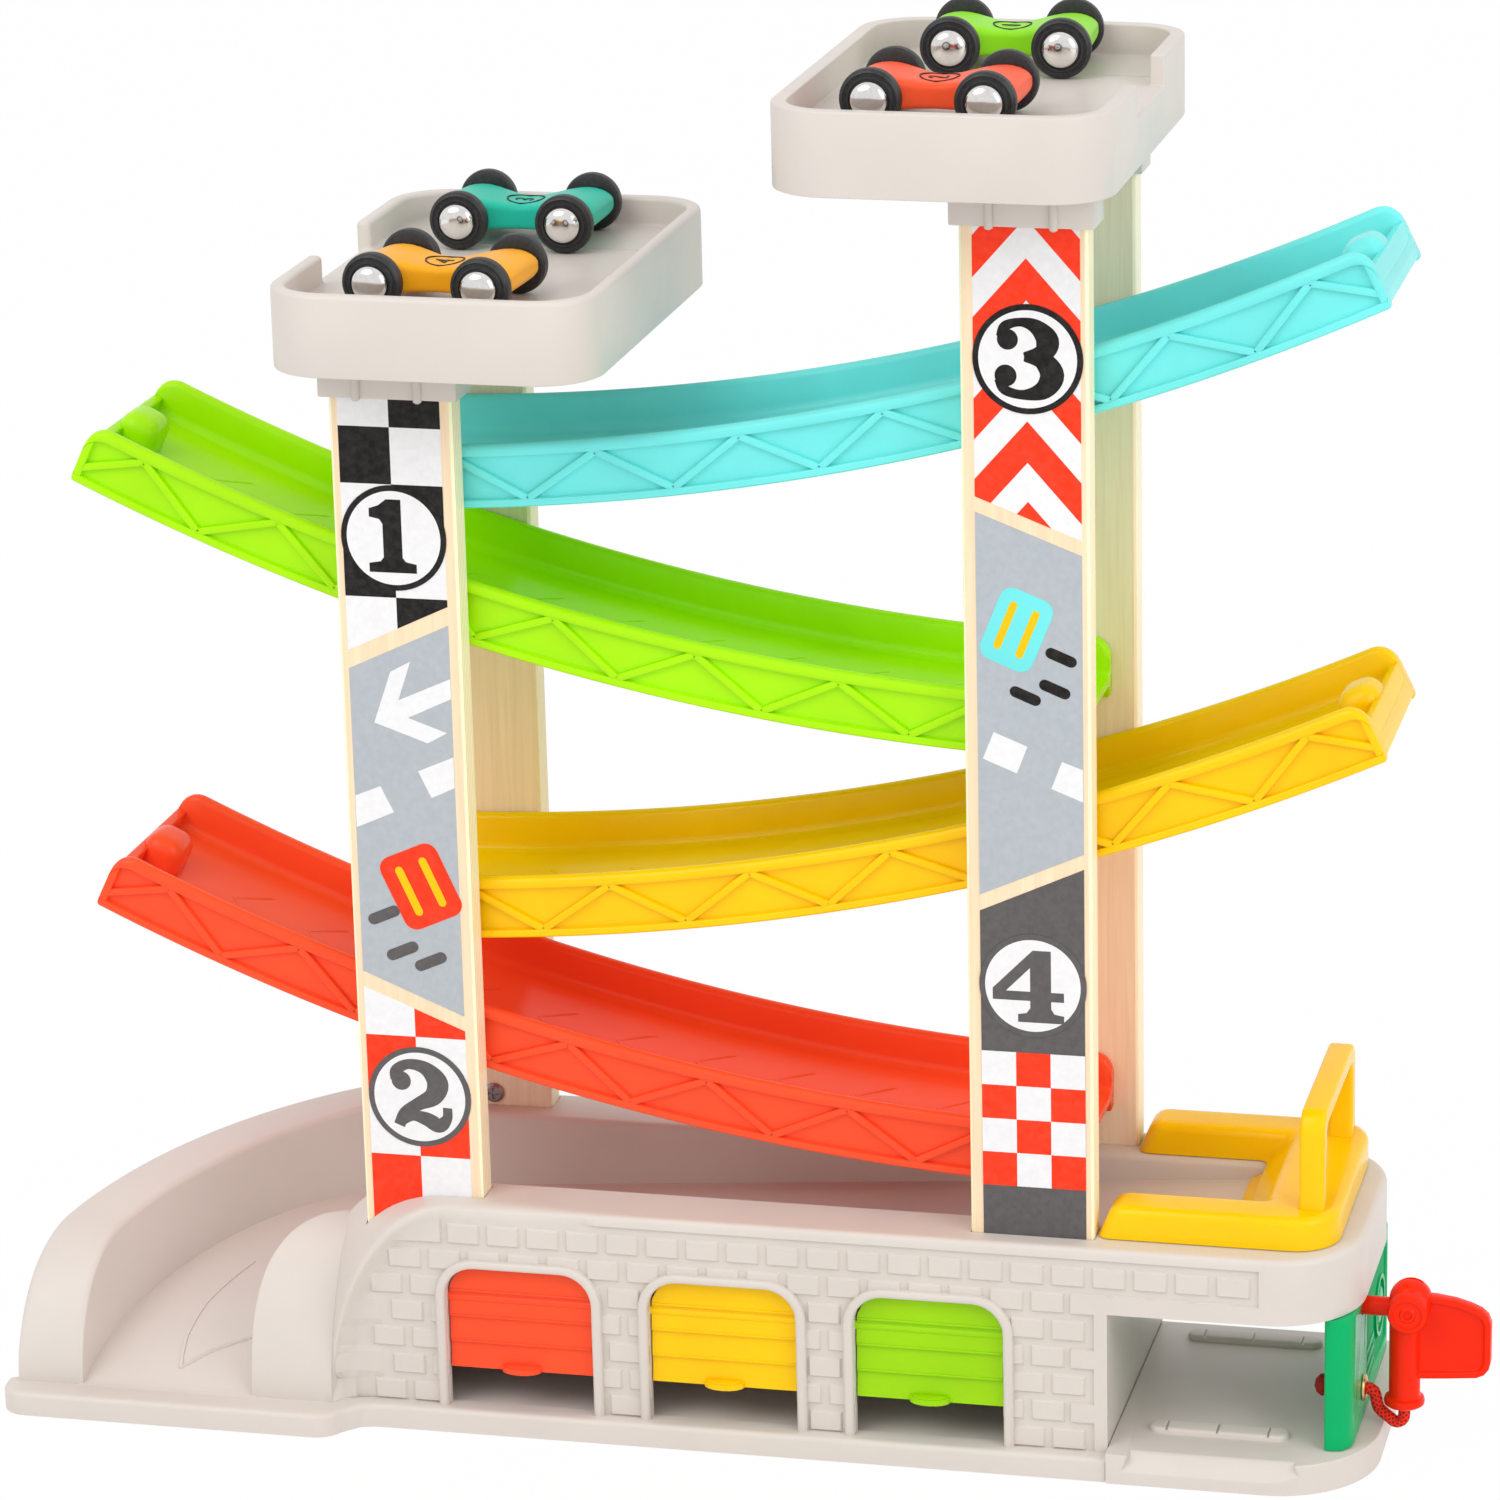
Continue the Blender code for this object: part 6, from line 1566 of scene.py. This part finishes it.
class TOYGARAGE_OT_cars(GarageOperator, bpy.types.Operator):
    """Make the cars: painted bodies, numbered roofs, tyres and polished hubs"""

    bl_idname = "toygarage.cars"
    bl_label = "Cars"

    def make(self, sizes):
        for k, name in enumerate(CARS):
            place = self.frame_of(name)
            body = self.shape()
            bmesh.ops.transform(body, matrix=place, verts=body.verts)
            finish = "car_" + name
            piece(finish + "_paintwork", body, [finish], finish, [finish + "_body"], 50.0)
            self.roof(name, place, k)
            self.wheels(name, place)

    def frame_of(self, name):
        """The car's place and turn, from its packed axles."""
        ends = []
        for end in ("rear", "front"):
            low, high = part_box("car_%s_axle_%s" % (name, end))
            ends.append((Vector(low) + Vector(high)) / 2)
        along = (ends[1] - ends[0]).normalized()
        turn = Matrix.Rotation(math.atan2(along.y, along.x), 4, "Z")
        return Matrix.Translation((ends[0] + ends[1]) / 2) @ turn

    def shape(self):
        """A block shaped into a waisted body with a saddle and round ends."""
        bm = bmesh.new()
        bmesh.ops.create_cube(bm, size=2.0)
        bmesh.ops.subdivide_edges(bm, edges=bm.edges, cuts=21, use_grid_fill=True)
        for vert in bm.verts:
            u, v, w = vert.co
            reach = max(abs(v), abs(w))
            if reach > 0:
                n = 6.0
                grow = reach / (abs(v) ** n + abs(w) ** n) ** (1 / n)
                v, w = v * grow, w * grow
            x = math.copysign(25 * MM * math.sin(abs(u) * math.pi / 2) ** 0.85, u)
            half, belly, top = self.section(x)
            vert.co = (x, v * half, (top + belly) / 2 + w * (top - belly) / 2)
        bmesh.ops.recalc_face_normals(bm, faces=bm.faces)
        return bm

    def section(self, x):
        """The body's half width, underside and top at a distance from its middle."""
        reach = min(1.0, abs(x) / AXLE_REACH)
        ease = reach ** 2 * (3 - 2 * reach)
        half = (18 + 9.4 * ease) * MM / 2
        top, belly = (3.4 + 2.6 * ease) * MM, -4.5 * MM
        past = abs(x) - AXLE_REACH
        if past > 0:
            sink = 1 - math.sqrt(max(0.0, 1 - min(1.0, past / (8 * MM)) ** 2))
            middle = (top + belly) / 2
            top = middle + (top - middle) * (1 - 0.75 * sink)
            belly = middle + (belly - middle) * (1 - 0.75 * sink)
            half -= 0.12 * half * sink
        return half, belly, top

    def roof(self, name, place, k):
        """A thin dark ring and a figure on the saddle."""
        marks = lathed([(5.6 * MM, 0), (5.6 * MM, 0.45 * MM), (6.0 * MM, 0.45 * MM),
                        (6.0 * MM, 0), (5.6 * MM, 0)], 40, (0, 0, SADDLE_TOP - 0.25 * MM),
                       (0, 0, 1))
        font = bpy.data.curves.new("roof_figure", "FONT")
        font.body = str(k + 3 if k < 2 else k - 1)
        font.size = 8.5 * MM
        font.extrude = 0.12 * MM
        font.align_x = "CENTER"
        font.align_y = "CENTER"
        text = bpy.data.objects.new("roof_figure", font)
        bpy.context.scene.collection.objects.link(text)
        bpy.context.view_layer.update()
        mesh = bpy.data.meshes.new_from_object(
            text.evaluated_get(bpy.context.evaluated_depsgraph_get()))
        bpy.data.objects.remove(text)
        bpy.data.curves.remove(font)
        mesh.materials.clear()
        mesh.transform(Matrix.Translation((0, 0, SADDLE_TOP + 0.05 * MM))
                       @ Matrix.Rotation(math.pi / 2, 4, "Z"))
        marks.from_mesh(mesh)
        bpy.data.meshes.remove(mesh)
        for vert in marks.verts:
            half, belly, top = self.section(vert.co.x)
            vert.co.z += top - SADDLE_TOP + 0.1 * MM
        bmesh.ops.transform(marks, matrix=place, verts=marks.verts)
        piece("car_%s_figure" % name, marks, ["print_black"], "car_" + name)

    def wheels(self, name, place):
        """The tyres and the domed hubs of both axles."""
        for end, x in (("front", AXLE_REACH), ("rear", -AXLE_REACH)):
            body = "car_%s_%s_wheels" % (name, end)
            tyres, hubs = bmesh.new(), bmesh.new()
            for hand, sign in (("near", -1), ("far", 1)):
                axis = (0, sign, 0)
                spot = (x, sign * 16.7 * MM, 0)
                profile = [(2.4, -2.5), (7.4, -2.5), (8.5, -2.2), (9.1, -1.5), (9.2, -0.6),
                           (9.2, 0.6), (9.1, 1.5), (8.5, 2.2), (8.0, 2.4), (7.7, 2.1), (7.3, 2.1),
                           (7.0, 2.5), (6.2, 2.5), (6.0, 2.2), (2.4, 2.2), (2.4, -2.5)]
                join(tyres, lathed([(r * MM, h * MM) for r, h in profile], 44, spot, axis))
                dome = [(0, 0), (5.5, 0), (5.6, 0.3), (5.3, 1.0), (4.4, 1.7), (3.0, 2.15),
                        (1.4, 2.38), (0, 2.4)]
                seat = (x, sign * 19.3 * MM, 0)
                join(hubs, lathed([(r * MM, (h + 0.2) * MM) for r, h in dome], 36, seat, axis))
                join(hubs, lathed([(0, -20 * MM), (2.0 * MM, -20 * MM), (2.0 * MM, 0.3 * MM),
                                   (0, 0.3 * MM)], 20, seat, axis))
            for bm in (tyres, hubs):
                bmesh.ops.transform(bm, matrix=place, verts=bm.verts)
            prefix = "car_%s_" % name
            piece(prefix + "tyres_" + end, tyres, ["tyre"], body,
                  [prefix + "wheel_%s_near" % end, prefix + "wheel_%s_far" % end], 30.0)
            piece(prefix + "hubs_" + end, hubs, ["steel"], body,
                  [prefix + "axle_" + end], 35.0)


class TOYGARAGE_OT_small_parts(GarageOperator, bpy.types.Operator):
    """Finish the garage floor, the eyelet and the rope's knot"""

    bl_idname = "toygarage.small_parts"
    bl_label = "Small parts"

    def make(self, sizes):
        repaint("base_floor", "shell")
        repaint("rope_knot", "rope")
        ring = lathed([(2.3 * MM, 0), (2.3 * MM, 0.8 * MM), (2.7 * MM, 1.0 * MM),
                       (3.6 * MM, 0.95 * MM), (4.1 * MM, 0.6 * MM), (4.2 * MM, 0.0),
                       (2.3 * MM, 0)], 40, (197.5 * MM, ROPE_Y, 21.5 * MM), (1, 0, 0))
        piece("eyelet_ring", ring, ["brass"], "garage", ["rope_eyelet"], 60.0)


# Stage

class TOYGARAGE_OT_stage(GarageOperator, bpy.types.Operator):
    """Set up the pale floor, the soft lamps and the camera"""

    bl_idname = "toygarage.stage"
    bl_label = "Stage"

    def make(self, sizes):
        light = bpy.context.scene.toy_garage_light
        scene = bpy.context.scene
        scene.view_settings.view_transform = "Standard"
        self.floor()
        self.sky(light.sky)
        self.lamp("key_lamp", (-0.9, -1.4, 1.9), 1.6, light.key)
        self.lamp("fill_lamp", (1.7, -1.0, 1.2), 1.4, light.fill)
        self.camera(scene)

    def floor(self):
        """A pale floor that the camera sees as white and that keeps the object's shadow."""
        bm = bmesh.new()
        bmesh.ops.create_grid(bm, x_segments=1, y_segments=1, size=6.0,
                              matrix=Matrix.Translation((0, 2.5, -0.0003)))
        ground = plain_object("floor", bm)
        made = bpy.data.materials.new("pale_floor")
        made.use_nodes = True
        shader = made.node_tree.nodes["Principled BSDF"]
        shader.inputs["Base Color"].default_value = (0.86, 0.86, 0.86, 1.0)
        shader.inputs["Roughness"].default_value = 0.85
        out = made.node_tree.nodes["Material Output"]
        glow = node(made, "ShaderNodeEmission", (("Color", (1, 1, 1, 1)), ("Strength", 1.0)))
        path = node(made, "ShaderNodeLightPath")
        either = node(made, "ShaderNodeMath", (("operation", "MAXIMUM"),),
                      ((0, path.outputs["Is Camera Ray"]), (1, path.outputs["Is Glossy Ray"])))
        share = node(made, "ShaderNodeMath", (("operation", "MULTIPLY"), (1, 0.98)),
                     ((0, either.outputs[0]),))
        mix = node(made, "ShaderNodeMixShader")
        wire(made, share.outputs[0], mix.inputs[0])
        wire(made, shader.outputs[0], mix.inputs[1])
        wire(made, glow.outputs[0], mix.inputs[2])
        wire(made, mix.outputs[0], out.inputs["Surface"])
        ground.data.materials.append(made)

    def sky(self, strength):
        """Even white light, with a white background for the camera."""
        world = bpy.data.worlds.new("studio")
        world.use_nodes = True
        bpy.context.scene.world = world
        tree = world.node_tree
        back = tree.nodes["Background"]
        back.inputs["Color"].default_value = (1, 1, 1, 1)
        back.inputs["Strength"].default_value = strength
        seen = tree.nodes.new("ShaderNodeBackground")
        seen.inputs["Color"].default_value = (1, 1, 1, 1)
        path = tree.nodes.new("ShaderNodeLightPath")
        mix = tree.nodes.new("ShaderNodeMixShader")
        tree.links.new(path.outputs["Is Camera Ray"], mix.inputs[0])
        tree.links.new(back.outputs[0], mix.inputs[1])
        tree.links.new(seen.outputs[0], mix.inputs[2])
        tree.links.new(mix.outputs[0], tree.nodes["World Output"].inputs["Surface"])

    def lamp(self, name, place, size, power):
        """A round soft lamp that is aimed at the object."""
        data = bpy.data.lights.new(name, "AREA")
        data.shape = "DISK"
        data.size = size
        data.energy = power
        lamp = bpy.data.objects.new(name, data)
        lamp.location = place
        aim = Vector((0, 0, 0.2)) - Vector(place)
        lamp.rotation_euler = aim.to_track_quat("-Z", "Y").to_euler()
        bpy.context.scene.collection.objects.link(lamp)

    def camera(self, scene):
        """The photograph's viewpoint; the lens and shift are in its pixels."""
        data = bpy.data.cameras.new("camera")
        data.sensor_fit = "HORIZONTAL"
        data.sensor_width = 36.0
        data.lens = 5623.32 / PHOTO * 36.0
        data.shift_x = (PHOTO / 2 - 1028.43) / PHOTO
        data.shift_y = (695.32 - PHOTO / 2) / PHOTO
        data.clip_end = 50.0
        a, e, roll = (math.radians(v) for v in (11.36, 17.24, -0.55))
        back = Vector((math.sin(a) * math.cos(e), -math.cos(a) * math.cos(e), math.sin(e)))
        right = Vector((math.cos(a), math.sin(a), 0))
        up = back.cross(right)
        across = math.cos(roll) * right + math.sin(roll) * up
        rise = math.cos(roll) * up - math.sin(roll) * right
        turn = Matrix((across, rise, back)).transposed().to_4x4()
        camera = bpy.data.objects.new("camera", data)
        camera.matrix_world = Matrix.Translation((0.4142, -1.6186, 0.748)) @ turn
        scene.collection.objects.link(camera)
        scene.camera = camera


class TOYGARAGE_PT_panel(bpy.types.Panel):
    """Lists the steps and their sizes"""

    bl_label = "Toy Garage"
    bl_idname = "TOYGARAGE_PT_panel"
    bl_space_type = "VIEW_3D"
    bl_region_type = "UI"
    bl_category = "Toy Garage"

    def draw(self, context):
        for step in STEPS:
            self.layout.operator(step.bl_idname)
        for group in (context.scene.toy_garage_sizes, context.scene.toy_garage_colours,
                      context.scene.toy_garage_light):
            box = self.layout.box()
            for key in group.bl_rna.properties.keys():
                if key not in ("rna_type", "name"):
                    box.prop(group, key)


STEPS = (
    TOYGARAGE_OT_stage,
    TOYGARAGE_OT_rope,
    TOYGARAGE_OT_base,
    TOYGARAGE_OT_door_frames,
    TOYGARAGE_OT_decks,
    TOYGARAGE_OT_guard,
    TOYGARAGE_OT_station,
    TOYGARAGE_OT_nozzle,
    TOYGARAGE_OT_tracks,
    TOYGARAGE_OT_posts,
    TOYGARAGE_OT_doors,
    TOYGARAGE_OT_cars,
    TOYGARAGE_OT_small_parts,
)
GROUPS = (GarageSizes, GarageColours, GarageLight)


def register():
    for each in GROUPS + STEPS + (TOYGARAGE_PT_panel,):
        bpy.utils.register_class(each)
    bpy.types.Scene.toy_garage_sizes = bpy.props.PointerProperty(type=GarageSizes)
    bpy.types.Scene.toy_garage_colours = bpy.props.PointerProperty(type=GarageColours)
    bpy.types.Scene.toy_garage_light = bpy.props.PointerProperty(type=GarageLight)


def unregister():
    del bpy.types.Scene.toy_garage_light
    del bpy.types.Scene.toy_garage_colours
    del bpy.types.Scene.toy_garage_sizes
    for each in reversed(GROUPS + STEPS + (TOYGARAGE_PT_panel,)):
        bpy.utils.unregister_class(each)


def main():
    register()
    for step in STEPS:
        family, name = step.bl_idname.split(".")
        getattr(getattr(bpy.ops, family), name)()


if __name__ == "__main__":
    main()
